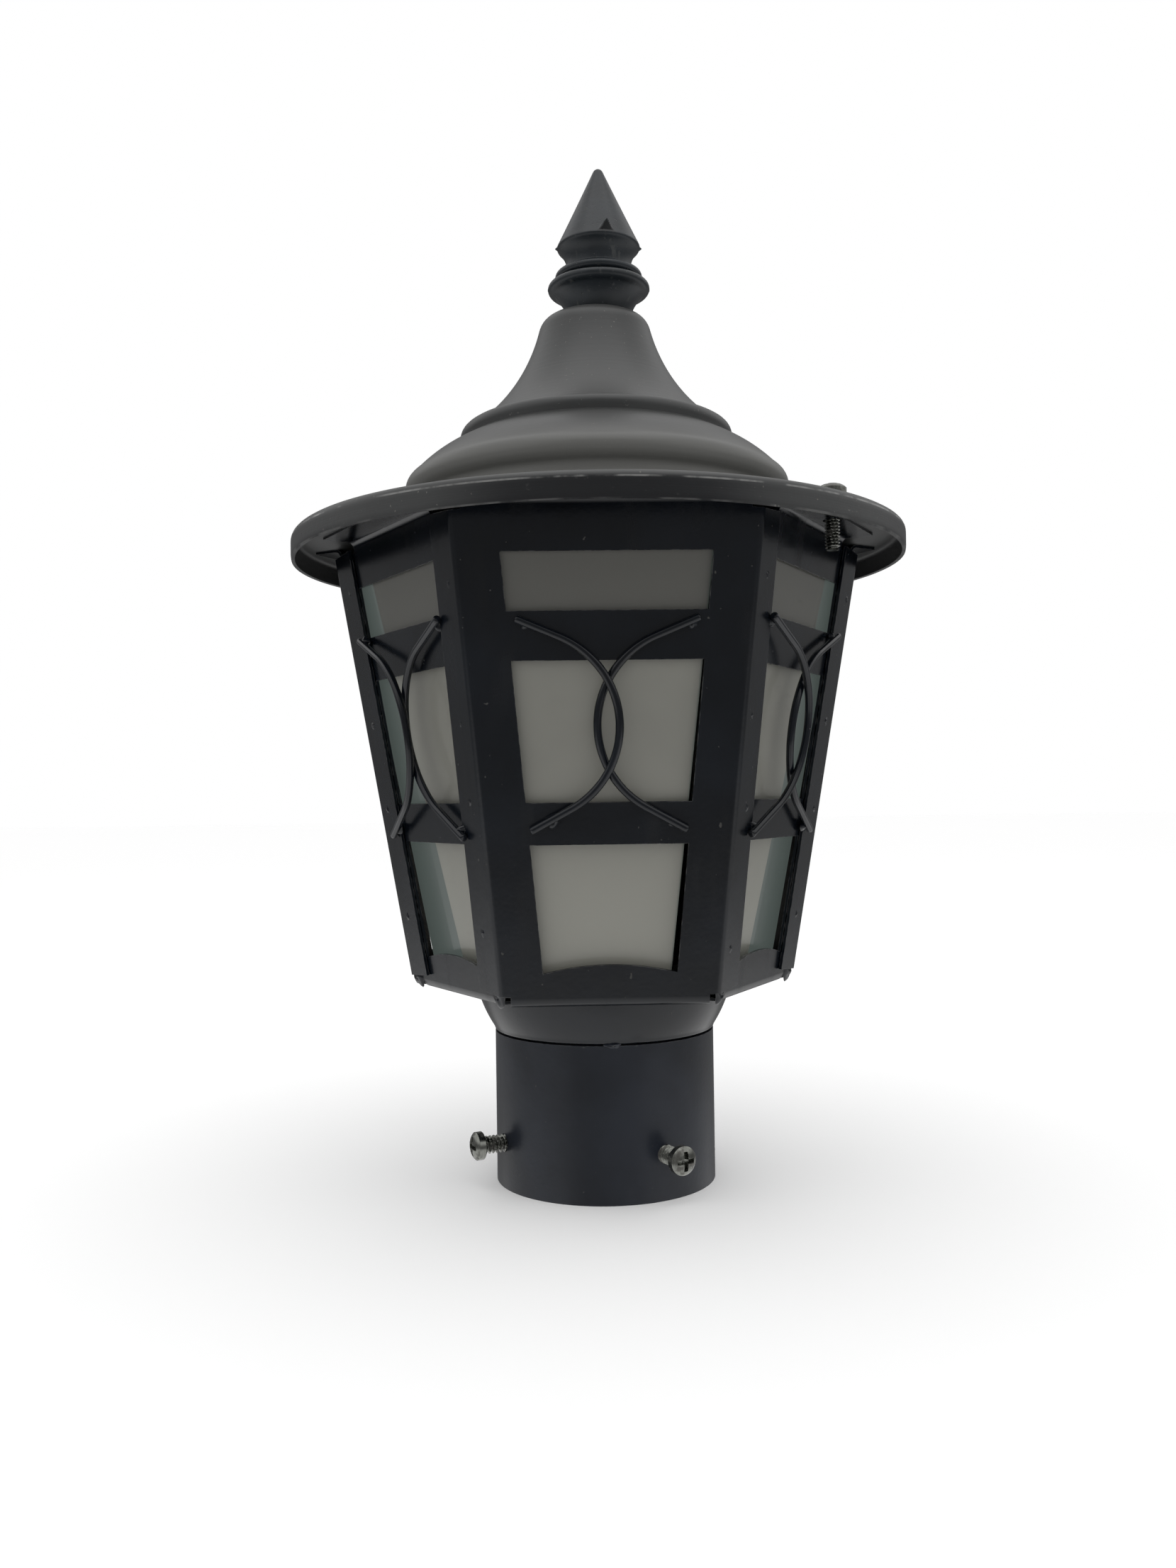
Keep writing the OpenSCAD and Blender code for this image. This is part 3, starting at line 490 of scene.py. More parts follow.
def spun_enamel(name, colour):
    """Dull enamel on spun sheet: faint turning lines, settled dust, a paler low roof and a worn
    lip with painted shade and light.
    """
    f = Finish(name)
    radius, height = f.radius(), f.axis("Z")
    lines = f.noise(900, 2, f.node("CombineXYZ", {}, [radius, 0.0, height]))
    cloud = f.noise(26, 4)
    blotch = f.noise(9, 2)
    settled = f.facing("Z").between(0.35, 1.0)
    specks = f.noise(1150, 1).between(0.72, 0.77)
    base = f.blended(cloud.between(0.25, 0.75), shaded(colour, 0.86), shaded(colour, 1.14))
    base = f.blended(settled * 0.35 * blotch, base, SETTLED_DUST)
    base = f.blended(specks * 0.4, base, BRIGHT_SPECK)
    # The cove and the low tier, below and inside these bands, take a paler colour.
    low = (1.0 - height.between(*DOME_FADE_HEIGHT)) * (1.0 - radius.between(*COVE_FADE_RADIUS))
    base = f.blended(low * 0.85, base, PALER_LOW_ROOF)
    # Painted shade darkens the lip, and painted light lifts it in patches to either side of its
    # front and back.
    lip = radius.between(*LIP_RADIUS) * (1.0 - height.between(*LIP_TOP_HEIGHT))
    aside = f.axis("X").size()
    lip_painted_light = aside.between(*LIP_SIDE_START) * (1.0 - aside.between(*LIP_SIDE_END))
    base = f.blended(lip * (0.9 - lip_painted_light * 0.85), base, LIP_PAINTED_SHADE)
    line = height.between(*WORN_LINE_START) * (1.0 - height.between(*WORN_LINE_END))
    foot = (1.0 - height.between(*LIP_FOOT_HEIGHT)) * 0.35
    worn = line.largest(foot) * radius.between(*WORN_RADIUS)
    worn = worn * f.noise(150, 4).between(0.4, 0.62)
    base = f.blended(worn * 0.75, base, BARED_BRIM)
    return f.finished(
        Base_Color=base,
        Roughness=0.34 + cloud * 0.1 + specks * 0.2 - worn * 0.1,
        Specular_IOR_Level=0.4,
        Normal=f.bump(lines * 0.5 + f.noise(60, 2) * 1.4 + f.noise(800, 2) * 0.25, 0.00006))


def moulded(name, colour):
    """Black moulded plastic with flow marks, small pits, light scuffs and painted shade on the
    gate tab's upright face.
    """
    f = Finish(name)
    flow = f.noise(60, 3, f.stretched(1, 1, 3))
    pits = f.noise(1300, 1).between(0.7, 0.78)
    scuffs = f.noise(90, 5, f.stretched(6, 6, 1)).between(0.62, 0.7)
    base = f.blended(flow.between(0.3, 0.7), shaded(colour, 0.8), shaded(colour, 1.25))
    base = f.blended((scuffs * 0.25).largest(pits * 0.3), base, SCUFFED_PLASTIC)
    rise = (f.axis("Z") - GATE_FOOT_HEIGHT) * (1 / GATE_HEIGHT)
    across = (f.axis("X") - GATE_CENTRE).size() + rise * GATE_NARROWING
    mark = (1.0 - across.between(*GATE_EDGE)) * rise.between(0.0, 0.05)
    in_front = (0.0 - f.axis("Y")).between(0.0, 0.001)
    # Painted shade on the gate tab's upright face: the plastic's colour darkened to three tenths.
    base = f.blended(mark * in_front, base, shaded(colour, 0.3))
    return f.finished(
        Base_Color=base,
        Roughness=0.33 + scuffs * 0.2 + flow * 0.08,
        Specular_IOR_Level=0.35,
        Normal=f.bump(f.noise(700, 2) * 0.5 + flow * 0.8 - pits * 1.0, 0.00007))


def frosted(name, colour):
    """Frosted glass: a fine even grain, cloudy etching and greener edges.

    Painted light makes it lightest at the foot and painted shade darkens it under the roof. A
    side pane has a dark strip along its rear edge, a painted reflection of the frame, which
    widens downwards and emits a faint painted light."""
    f = Finish(name)
    cloud = f.noise(32, 3)
    grain = f.noise(2600, 2)
    marks = f.noise(60, 5, f.stretched(1, 1, 4)).between(0.6, 0.75)
    base = f.blended(cloud.between(0.3, 0.7), shaded(colour, 0.93), shaded(colour, 1.06))
    height, depth = f.axis("Z"), f.axis("Y")
    # Painted light at the foot of the panes, and painted shade under the roof.
    base = f.blended(height.between(*PANE_FOOT_PAINTED_LIGHT), shaded(colour, 1.25), base)
    base = f.blended(height.between(*PANE_TOP_PAINTED_SHADE), base, shaded(colour, 0.45))
    # Painted reflection: a dark greenish strip along a side pane's rear edge, where the frame
    # mirrors in the glass, wider towards the foot.
    reach = depth + STRIP_DEPTH + (STRIP_TOP_HEIGHT - height) * STRIP_SLOPE
    strip = reach.between(*STRIP_EDGE) * (1.0 - depth.between(*STRIP_END_DEPTH))
    base = f.blended(strip, base, STRIP_PAINTED_REFLECTION)
    # Painted light: the strip emits faintly, in place of light that passes through the glass from
    # behind.
    glow = f.blended(strip, (0, 0, 0), STRIP_PAINTED_GLOW)
    base = f.blended(f.edges(0.0012) * 0.8, base, GLASS_EDGE)
    return f.finished(
        Base_Color=base,
        Roughness=0.36 + marks * 0.12 + grain * 0.06,
        Transmission_Weight=0.25,
        IOR=1.5,
        Coat_Weight=0.4,
        Coat_Roughness=0.05,
        Emission_Color=glow,
        Emission_Strength=1.0,
        Normal=f.bump(grain, 0.00001))


def plated(name, colour, roughness, grime):
    """Plated or bare metal with fine scratches and grime in patches."""
    f = Finish(name)
    scratches = f.noise(500, 4, f.stretched(4, 1, 1))
    dirt = f.noise(420, 3).between(0.5, 0.68)
    base = f.blended(scratches.between(0.3, 0.7), shaded(colour, 0.85), shaded(colour, 1.08))
    base = f.blended(dirt * grime, base, GRIME)
    return f.finished(
        Base_Color=base,
        Metallic=1.0 - dirt * grime * 0.6,
        Roughness=roughness + scratches * 0.12 + dirt * 0.2 * grime,
        Normal=f.bump(scratches * 0.6 + f.noise(1500, 1) * 0.3, 0.00003))


def finishes():
    """The lamp's materials by the record's slot names, made on first use."""
    colour = bpy.context.scene.pillar_lamp_finishes
    makers = {
        "black_paint": (enamel, colour.enamel, 0.2, 0.55, 1.6),
        "rod_paint": (enamel, colour.enamel, 0.16, 0.2, 1.0),
        "sleeve_paint": (enamel, colour.sleeve, 0.3, 0.5, 1.2),
        "roof_paint": (spun_enamel, colour.roof),
        "moulded_plastic": (moulded, colour.finial),
        "frosted_glass": (frosted, colour.glass),
        "screw_steel": (plated, STEEL, 0.16, 0.75),
        "zinc_sheet": (plated, ZINC, 0.45, 0.5),
        "brass": (plated, BRASS, 0.3, 0.35),
        "holder_plastic": (moulded, HOLDER_BLACK),
    }
    return {name: bpy.data.materials.get(f"lamp_{name}")
            or make(f"lamp_{name}", tuple(tone), *numbers)
            for name, (make, tone, *numbers) in makers.items()}


# Settings

def number(name, description, default, **limits):
    """A number property that isn't negative."""
    return bpy.props.FloatProperty(name=name, description=description, default=default, min=0.0,
                                   **limits)


def length(name, description, default):
    """A length property in metres."""
    return number(name, description, default, unit="LENGTH", subtype="DISTANCE", precision=4)


def tint(name, description, default):
    """A colour property in linear light."""
    return bpy.props.FloatVectorProperty(name=name, description=description, default=default,
                                         subtype="COLOR", size=3, min=0.0, max=1.0)


ROOF_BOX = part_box("roof_cap")
PANEL_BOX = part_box("panel_front")
FINIAL_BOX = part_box("finial")
SLEEVE_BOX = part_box("sleeve")


class LampSizes(bpy.types.PropertyGroup):
    """Sizes of the turned and bent forms"""

    brim_radius: length("Brim radius", "Outer radius of the roof's brim", ROOF_BOX[1].x)
    brim_height: length("Brim height", "Height of the brim's top", 0.175)
    lip: length("Lip", "Depth of the turned-down lip", 0.0068)
    roof_top: length("Roof top", "Height of the roof under the finial", ROOF_BOX[1].z)
    roof_sheet: length("Roof sheet", "Thickness of the roof's sheet", 0.0009)
    finial_top: length("Finial top", "Height of the finial's point", FINIAL_BOX[1].z)
    panel_foot: length("Panel foot", "Height of the panels' lower edge", PANEL_BOX[0].z)
    panel_height: length("Panel height", "Height of the panels", 0.1211)
    corner_bottom: length("Lower corners", "Radius to the lantern's lower corners", 0.0527)
    corner_top: length("Upper corners", "Radius to the lantern's upper corners", 0.0735)
    rod: length("Rod", "Diameter of the bowed rods", 0.002)
    rod_bow: length("Rod bow", "Radius of a rod's bow", 0.0225)
    rod_end: length("Rod end", "Straight end of a rod", 0.011)
    rod_end_plain: length("Rod end, plain side", "Straight end on a plain side", 0.0145)
    rod_cross: length("Rod crossing", "How far a bow passes the centre line", 0.0026)
    rod_rise: length("Rod height", "Height of the rods' middle above the panels' foot", 0.0691)
    sleeve_radius: length("Sleeve radius", "Outer radius of the sleeve", SLEEVE_BOX[1].y)
    sleeve_height: length("Sleeve height", "Height of the sleeve", SLEEVE_BOX[1].z)
    screw: length("Screw", "Thread diameter of the screws", 0.00476)
    screw_pitch: length("Screw pitch", "Distance from thread to thread", 0.00106)
    screw_head: length("Screw head", "Diameter of the screws' heads", 0.0074)
    screw_out: length("Screw reach", "Bare thread between sleeve and screw head", 0.0062)


class LampFinishes(bpy.types.PropertyGroup):
    """Colours of the lamp"""

    enamel: tint("Enamel", "Black enamel of the panels and rods", (0.0028, 0.0040, 0.0062))
    sleeve: tint("Sleeve", "Enamel of the sleeve", (0.0115, 0.0138, 0.0195))
    roof: tint("Roof", "Dull enamel of the roof", (0.031, 0.032, 0.032))
    finial: tint("Finial", "Moulded plastic of the finial", (0.0095, 0.0125, 0.0155))
    glass: tint("Glass", "Frosted panes", (0.215, 0.213, 0.187))


class LampStudio(bpy.types.PropertyGroup):
    """Light and camera"""

    sky: number("Sky", "Strength of the even white light", 1.0, subtype="FACTOR")
    dim: number("Dim walls", "How white the walls look in reflections", 0.2, max=1.0)
    top_light: number("Top light", "Power of the soft light over the lamp", 1.6, unit="POWER")
    floor: tint("Floor", "Pale floor", (1.0, 1.0, 1.0))
    focal: number("Focal length", "Lens, in millimetres", 30.45, unit="CAMERA")


# The roof and finial

# The roof's outer face between brim and spire, in millimetres above the brim: cove, belly of
# the low tier, its shoulder, and the bead on it
ROOF_ARCS = (
    ((57.2, 0), (50.6, 10), 2.1, 18),
    ((50.6, 10.1), (50.8, 16.8), -2.1, 24),
    ((50.5, 17.1), (37.3, 26.2), -0.8, 24),
    ((37, 26.5), (34, 30.5), -2, 18),
)
BRIM_ROUND = 2
SPIRE_FOOT = (33.7, 30.8)
SPIRE_NECK_RADIUS = 15.4
SPIRE_SHOULDER = 3.5
ROOF_TOP_RADIUS = 10.5
ROOF_HOLE_RADIUS = 2.6
ROOF_COLUMNS = 168


class LAMP_OT_roof(bpy.types.Operator):
    """Spins the roof: brim with a turned-down lip, cove, low tier, bead and concave spire"""

    bl_idname = "pillar_lamp.roof"
    bl_label = "Roof"

    def execute(self, context):
        size = sizes()
        brim_z, brim_r, top = size["brim_height"], size["brim_radius"], size["roof_top"]
        foot, under = brim_z - size["lip"], brim_z - BRIM_ROUND
        outer = np.vstack([
            arc((brim_r - 0.15, foot), (brim_r, foot + 0.5), 0.05, 3),
            arc((brim_r, under), (brim_r - BRIM_ROUND, brim_z), -0.58, 8),
            *raised_arcs(ROOF_ARCS, brim_z),
            arc((SPIRE_FOOT[0], brim_z + SPIRE_FOOT[1]),
                (SPIRE_NECK_RADIUS, top - SPIRE_SHOULDER - 0.1), 2.8, 36),
            arc((SPIRE_NECK_RADIUS - 0.05, top - SPIRE_SHOULDER), (ROOF_TOP_RADIUS, top), -1, 12),
            [(ROOF_HOLE_RADIUS, top)]])
        outer = softened(resampled(outer, 0.3), 3)
        outer = outer[np.r_[0:len(outer) - 1:2, len(outer) - 1]]
        inner = offset(outer, size["roof_sheet"])[::-1]
        profile = np.vstack([outer, inner])

        def warped(r, z, t):
            """The height waves in three and five lobes that grow with the radius squared."""
            reach = (r / brim_r) ** 2
            z = z + reach * (0.10 * np.sin(3 * t + 0.7) + 0.05 * np.sin(5 * t + 2)) - 0.12 * reach
            return r * (1 - 0.0006 * (1 + np.sin(2 * t + 0.4))), z

        add_piece("roof", turned(profile, ROOF_COLUMNS, warped), "roof_paint",
                  replaces=["roof_cap"], crease=50)
        return {"FINISHED"}


# The finial's outer face, in millimetres above its foot: flare, disc, ring and waist
FINIAL_ARCS = (
    ((8.9, 0.6), (12.3, 6.5), 0.5, 10),
    ((12.9, 6.7), (12.7, 9.5), -1.35, 14),
    ((11.5, 10.4), (11.2, 12.6), -0.72, 10),
    ((8.9, 13.6), (11.3, 19.1), 0.7, 12),
)
FINIAL_FOOT_RADIUS = 9.0
FINIAL_GROOVE = ((10.4, 9.8), (10.4, 10.2))
FINIAL_RIM = ((11.6, 19.7), (11.3, 20.3))
FINIAL_RIM_MIDDLE = 19.6
FINIAL_CONE_FOOT = (10.8, 21.3)
FINIAL_HOLE = (2.05, 13.1)
FINIAL_COLUMNS = 288
FINIAL_SHIFT = 1.25
FINIAL_TILT = 0.006
FLASH_HEIGHT, FLASH_WIDTH = 0.07, 0.15
NIB_REACH, NIB_WIDTH, NIB_HEIGHT = 0.5, 0.55, 0.45
GATE_RISE = 3.8
GATE_HALF = 2.5
GATE_OFF_CENTRE = 1.75


class LAMP_OT_finial(bpy.types.Operator):
    """Moulds the finial a little off its screw: cone, rim, waist, rings, flash and gate mark"""

    bl_idname = "pillar_lamp.finial"
    bl_label = "Finial"

    def execute(self, context):
        size = sizes()
        base, tip = size["roof_top"], size["finial_top"]
        lift = np.array([0, base])
        flare, disc, ring, waist = raised_arcs(FINIAL_ARCS, base)
        outer = np.vstack([
            [(FINIAL_FOOT_RADIUS, base)], flare, disc, FINIAL_GROOVE + lift, ring, waist,
            FINIAL_RIM + lift,
            arc(FINIAL_CONE_FOOT + lift, (1.4, tip - 0.95), 0.05, 24),
            arc((1.36, tip - 0.85), (0.0, tip), -0.22, 9)])
        outer = softened(resampled(outer, 0.2), 2)
        hole_r, hole_top = FINIAL_HOLE[0], base + FINIAL_HOLE[1]
        profile = np.vstack([[(0, hole_top), (hole_r, hole_top), (hole_r, base + 0.05)],
                             outer[:-1], [(0, outer[-1, 1])]])
        rim = base + FINIAL_RIM_MIDDLE

        def marked(r, z, t):
            """A ridge at the parting plane, nibs on the rim there, and a gate mark in front.

            Ridge and nibs are bell curves of the distance from the plane. The mark is a tab
            whose face goes straight up from the rim while the cone leans in, over a width that
            narrows with height."""
            off = r * np.sin(t)
            ridge = FLASH_HEIGHT * np.exp(-(off / FLASH_WIDTH) ** 2)
            nib = NIB_REACH * np.exp(-(off / NIB_WIDTH) ** 2 - ((z - rim) / NIB_HEIGHT) ** 2)
            r = r + (r > 5) * (ridge + nib)
            rise = (z - rim - 0.4) / GATE_RISE
            half = np.clip(GATE_HALF * (1 - rise), 0.01, None)
            across = np.abs(r * np.cos(t) - GATE_OFF_CENTRE) / half
            on = (rise > 0) * (rise < 1) * (np.sin(t) < 0) * np.clip((1 - across) * 4, 0, 1)
            return r + on * np.clip(FINIAL_RIM[1][0] - r, 0, None), z

        points, faces = turned(profile, FINIAL_COLUMNS, marked)
        hole = (np.hypot(points[:, 0], points[:, 1]) < 3) & (points[:, 2] < hole_top + 0.1)
        points[:, 0] += np.where(hole, 0, FINIAL_SHIFT + FINIAL_TILT * (points[:, 2] - base))
        add_piece("finial_moulding", (points, faces), "moulded_plastic", replaces=["finial"],
                  crease=42)
        return {"FINISHED"}


CUP_MOUTH_RADIUS = 24
CUP_TOP_RADIUS = 34.8
CUP_FLANGE_RADIUS = 38.2
CUP_SHEET = 0.9
CUP_COLUMNS = 144


class LAMP_OT_cup(bpy.types.Operator):
    """Spins the neck cup between the sleeve and the panels"""

    bl_idname = "pillar_lamp.cup"
    bl_label = "Neck cup"

    def execute(self, context):
        size = sizes()
        seat, foot = size["sleeve_height"] + 0.3, size["sleeve_radius"] + 0.2
        flange = size["panel_foot"] - CUP_SHEET
        outer = np.vstack([
            [(CUP_MOUTH_RADIUS, seat)],
            arc((foot - 0.7, seat), (foot, seat + 0.7), -0.2, 6),
            arc((foot, seat + 0.9), (CUP_TOP_RADIUS, flange), -0.45, 24),
            [(CUP_FLANGE_RADIUS, flange)]])
        outer = softened(resampled(outer, 0.25), 3)
        profile = np.vstack([outer, offset(outer, CUP_SHEET)[::-1]])
        add_piece("cup", turned(profile, CUP_COLUMNS), "black_paint", replaces=["neck_cup"],
                  crease=50)
        return {"FINISHED"}


# The bowed rods

ROD_BOW_ANGLE = math.radians(64)
ROD_LEAN = math.radians(3.3)
ROD_CLEAR = 0.05
ROD_POINTS = 121
ROD_COLUMNS = 20
ROD_WAVE = 0.02


def rod_line(side, over, size):
    """Axis of a bowed rod in its side's frame: an arc of the bow's radius with tangent ends.

    The rod on top is tilted about the line of its tips so that its bow clears the other."""
    end = size["rod_end_plain"] if side in PLAIN_SIDES else size["rod_end"]
    bow, angle = size["rod_bow"], ROD_BOW_ANGLE
    half_arc = bow * angle
    s = np.linspace(-half_arc - end, half_arc + end, ROD_POINTS)
    turn = np.clip(s / bow, -angle, angle)
    rest = s - turn * bow
    x = bow * np.cos(turn) - np.abs(rest) * math.sin(angle) + size["rod_cross"] - bow
    y = bow * np.sin(turn) + rest * math.cos(angle)
    z = np.zeros_like(x)
    tip = -x[0]
    if over:
        cross = math.sqrt(bow ** 2 - (bow - size["rod_cross"]) ** 2)
        tilt = math.atan((size["rod"] + ROD_CLEAR) / (tip - cross * math.sin(ROD_LEAN)))
        x, z = x * math.cos(tilt) - tip * (1 - math.cos(tilt)), (x + tip) * math.sin(tilt)
    lean = ROD_LEAN
    x, y = x * math.cos(lean) - y * math.sin(lean), x * math.sin(lean) + y * math.cos(lean)
    if not over:
        x = -x
    up = size["rod_rise"] / math.cos(lean_angle(size))
    return np.column_stack([x, y + up, z + size["rod"] / 2 + ROD_CLEAR])


class LAMP_OT_rods(bpy.types.Operator):
    """Bends the twelve decorative rods, two crossed on each side"""

    bl_idname = "pillar_lamp.rods"
    bl_label = "Bowed rods"

    def execute(self, context):
        size = sizes()
        for number, side in enumerate(SIDES):
            for over in (False, True):
                line = on_side(side, rod_line(side, over, size), size)
                run = np.linspace(0, 1, len(line))
                phase = number * 1.7 + over
                wave = np.sin(40 * run + phase) * np.sin(13 * run + 2 * phase)
                thick = size["rod"] / 2 * (1 - ROD_WAVE + ROD_WAVE * wave)
                name = f"rod_{'over' if over else 'under'}_{side}"
                add_piece(f"{name}_bar", tube(line, thick, ROD_COLUMNS), "rod_paint",
                          "black_paint", replaces=[name], crease=60)
        return {"FINISHED"}


# Welds

LUMP_RINGS, LUMP_COLUMNS = 9, 22
LUMP_SUNK = 0.12
BIG_LUMP = (2.6, 1.9, 2.3)
BIG_LUMP_BACK = 5.2
BIG_LUMP_MOVED = (-0.2, -0.7)
SPOT_HEIGHTS = (16, 47, 72, 104)
SPOT_INSET = 5.2
CORNER_INSET = 2.7
CORNER_UP_OUT = (2.1, -1.1)
NECK_TACK_TURNS = (2, 122, 242)


def blobs(lumps, seed, power=0.7):
    """Lumps of weld: domes of height (1 - q^2)^power over an oval of radius q, with waves.

    Each lump is given by its centre, the directions out and along, and its half length, half
    width and height. It is a few rings of points on one formula, sunk a little into the metal."""
    centres, outs, alongs, lengths, widths, heights = (np.array(part) for part in zip(*lumps))
    across = np.cross(outs, alongs)
    random = np.random.default_rng(seed).random((len(lumps), 4))
    q = np.linspace(1, 0.12, LUMP_RINGS)[None, :, None]
    t = full_turn(LUMP_COLUMNS)[None, None, :]
    phase = random[:, :, None, None] * 2 * np.pi
    wave = 1 + 0.13 * np.sin(3 * t + phase[:, 0]) + 0.08 * np.sin(5 * t + 4 * q + phase[:, 1])
    swell = 1 + 0.16 * np.sin(4 * q + 2 * t + phase[:, 2])
    a = q * np.cos(t) * wave * lengths[:, None, None]
    b = q * np.sin(t) * wave * widths[:, None, None]
    h = np.clip(1 - q ** 2, 0, 1) ** power * swell * heights[:, None, None] - LUMP_SUNK
    points = (centres[:, None, None] + a[..., None] * alongs[:, None, None]
              + b[..., None] * across[:, None, None] + h[..., None] * outs[:, None, None])
    parts = []
    for rings in points:
        poles = np.array([rings[0].mean(0), rings[-1].mean(0)])
        poles[1] += (poles[1] - poles[0]) * 0.04
        parts.append(capped(rings, poles))
    return joined(parts)


def side_axes(side, size):
    """The directions across a side, up its slope and out of it."""
    local = np.array([[0.0, 0, 0], [1, 0, 0], [0, 1, 0], [0, 0, 1]])
    origin, across, up, out = on_side(side, local, size)
    return across - origin, up - origin, out - origin


def rod_lumps(size, random):
    """A lump near each end of each rod, and one big run of weld at the front's lower left."""
    lumps = []
    for side in SIDES:
        across, up, out = side_axes(side, size)
        for over in (False, True):
            line = rod_line(side, over, size)
            middle = line[ROD_POINTS // 2, 1]
            for tip, inner in ((line[2], line[10]), (line[-3], line[-11])):
                way = (tip - inner) / np.linalg.norm(tip - inner)
                big = side == "front" and over and tip[1] < middle
                beside = np.array([way[1], -way[0]]) * random.uniform(-0.8, 0.8)
                back = BIG_LUMP_BACK if big else random.uniform(0.8, 2.4)
                flat = (tip - way * back)[:2] + (BIG_LUMP_MOVED if big else beside)
                centre = on_side(side, np.array([*flat, 0.05]), size)
                measures = BIG_LUMP if big else (
                    random.uniform(1.1, 1.9), random.uniform(1.2, 1.6), random.uniform(0.9, 1.6))
                lumps.append((centre, out, way[0] * across + way[1] * up, *measures))
    return lumps


def spot_lumps(size, random):
    """Flat spots down both edges of the plain panels, where the flanges are welded on."""
    places = []
    for side in PLAIN_SIDES:
        _, up, out = side_axes(side, size)
        for height in SPOT_HEIGHTS:
            for flip in (-1, 1):
                wander = random.random(2) - 0.5
                x = flip * (half_side(height, size) - SPOT_INSET + wander[0] * 2.5)
                slope = (height + wander[1] * 7) / math.cos(lean_angle(size))
                places.append((on_side(side, np.array([x, slope, 0.02]), size), out, up))
    heights = 0.22 + 0.2 * random.random(len(places))
    return [(*place, 1.5, 1.2, height) for place, height in zip(places, heights)]


def corner_lumps(size):
    """Welds behind the lower corners of the plain panels, over the notches of the flanges."""
    lumps = []
    for side in PLAIN_SIDES:
        across, _, out = side_axes(side, size)
        for flip in (-1, 1):
            corner = np.array([flip * (half_side(0, size) - CORNER_INSET), *CORNER_UP_OUT])
            lumps.append((on_side(side, corner, size), out, across, 3.0, 2.5, 0.9))
    return lumps


def neck_lumps(size):
    """Three tacks in the seam between sleeve and cup."""
    reach, height = size["sleeve_radius"] - 0.15, size["sleeve_height"] + 0.05
    lumps = []
    for turn in NECK_TACK_TURNS:
        out, along = directions(turn)
        lumps.append((out * reach + [0, 0, height], out, along, 2.1, 0.85, 0.7))
    return lumps


class LAMP_OT_welds(bpy.types.Operator):
    """Adds the weld lumps at the rods' ends, the spots, the corner welds and the neck's tacks"""

    bl_idname = "pillar_lamp.welds"
    bl_label = "Welds"

    def execute(self, context):
        size = sizes()
        random = np.random.default_rng(7)
        for name, shape, finish in (
                ("rod_welds", blobs(rod_lumps(size, random), 3), "rod_paint"),
                ("spot_welds", blobs(spot_lumps(size, random), 5, 2), "black_paint"),
                ("corner_welds", blobs(corner_lumps(size), 11), "rod_paint"),
                ("neck_tacks", blobs(neck_lumps(size), 9), "sleeve_paint")):
            add_piece(name, shape, finish, "black_paint", crease=60)
        return {"FINISHED"}


# Screws

CLAMP_SCREW_TURNS = {"set_screw_left": -67, "set_screw_right": 29}
CLAMP_SCREW_LENGTH = 7.5
CLAMP_SCREW_HEIGHT = 12
ROOF_SCREWS = ((60, 4.6), (240, 0.0))  # turn in degrees, and how far the head stands proud
ROOF_SCREW_LENGTH = 9.3
ROOF_SCREW_RADIUS = 67.5
ROOF_SCREW_THREAD = {"screw": 3.97, "screw_pitch": 0.82}
SCREW_COLUMNS = 96
HEAD_HEIGHT_SHARE = 0.784
THREAD_DEPTH_SHARE = 0.62
CROSS_DEPTH = 1.25
UPWARD = np.array([0, 0, 1.0])


def screw(shank, size):
    """Machine screw on +Z with its head's underside at height 0, as one turned surface.

    The thread is r = R - depth * saw(z / pitch - t / 2 pi) with flat crests, and the cross is
    sunk where either distance from a centre line of the dome is under half a slot."""
    radius, head = size["screw"] / 2, size["screw_head"] / 2
    head_h = head * HEAD_HEIGHT_SHARE
    pitch, depth = size["screw_pitch"], size["screw_pitch"] * THREAD_DEPTH_SHARE
    rows = int(shank / pitch * 12)
    thread = np.column_stack([np.full(rows, radius), np.linspace(-shank + 0.35, -0.02, rows)])
    dome = arc((head, head_h * 0.62), (0.02, head_h), -head / 7, 30)
    profile = np.vstack([
        [(0, -shank), (radius * 0.45, -shank), (radius * 0.78, -shank + 0.02)], thread,
        [(radius, 0), (head * 0.7, 0), (head - 0.15, 0), (head, 0.15), (head, head_h * 0.5)],
        dome, [(0, head_h)]])

    def cut(r, z, t):
        """Thread on the shank and the cross in the dome."""
        phase = np.mod(z / pitch - t / (2 * np.pi), 1)
        saw = np.clip(np.abs(2 * phase - 1) * 1.3 - 0.12, 0, 1)
        fade = np.clip((z + shank) / 0.9, 0.25, 1)
        threaded = (z < -0.01) & (z > -shank + 0.03)
        r = np.where(threaded, radius * (0.8 + 0.2 * fade) - depth * saw, r)
        x, y = r * np.cos(t), r * np.sin(t)
        slot, reach = head * 0.3, head * 0.66
        arms = np.minimum(np.maximum(np.abs(x) - reach, np.abs(y) - slot / 2),
                          np.maximum(np.abs(y) - reach, np.abs(x) - slot / 2))
        sink = np.clip(-arms / 0.12, 0, 1) * CROSS_DEPTH * (z > head_h * 0.55)
        return r, z - sink

    return turned(profile, SCREW_COLUMNS, cut)


def placed(points, origin, *axes):
    """Points of a piece's own frame carried to an origin and three directions."""
    return origin + points @ np.array(axes)


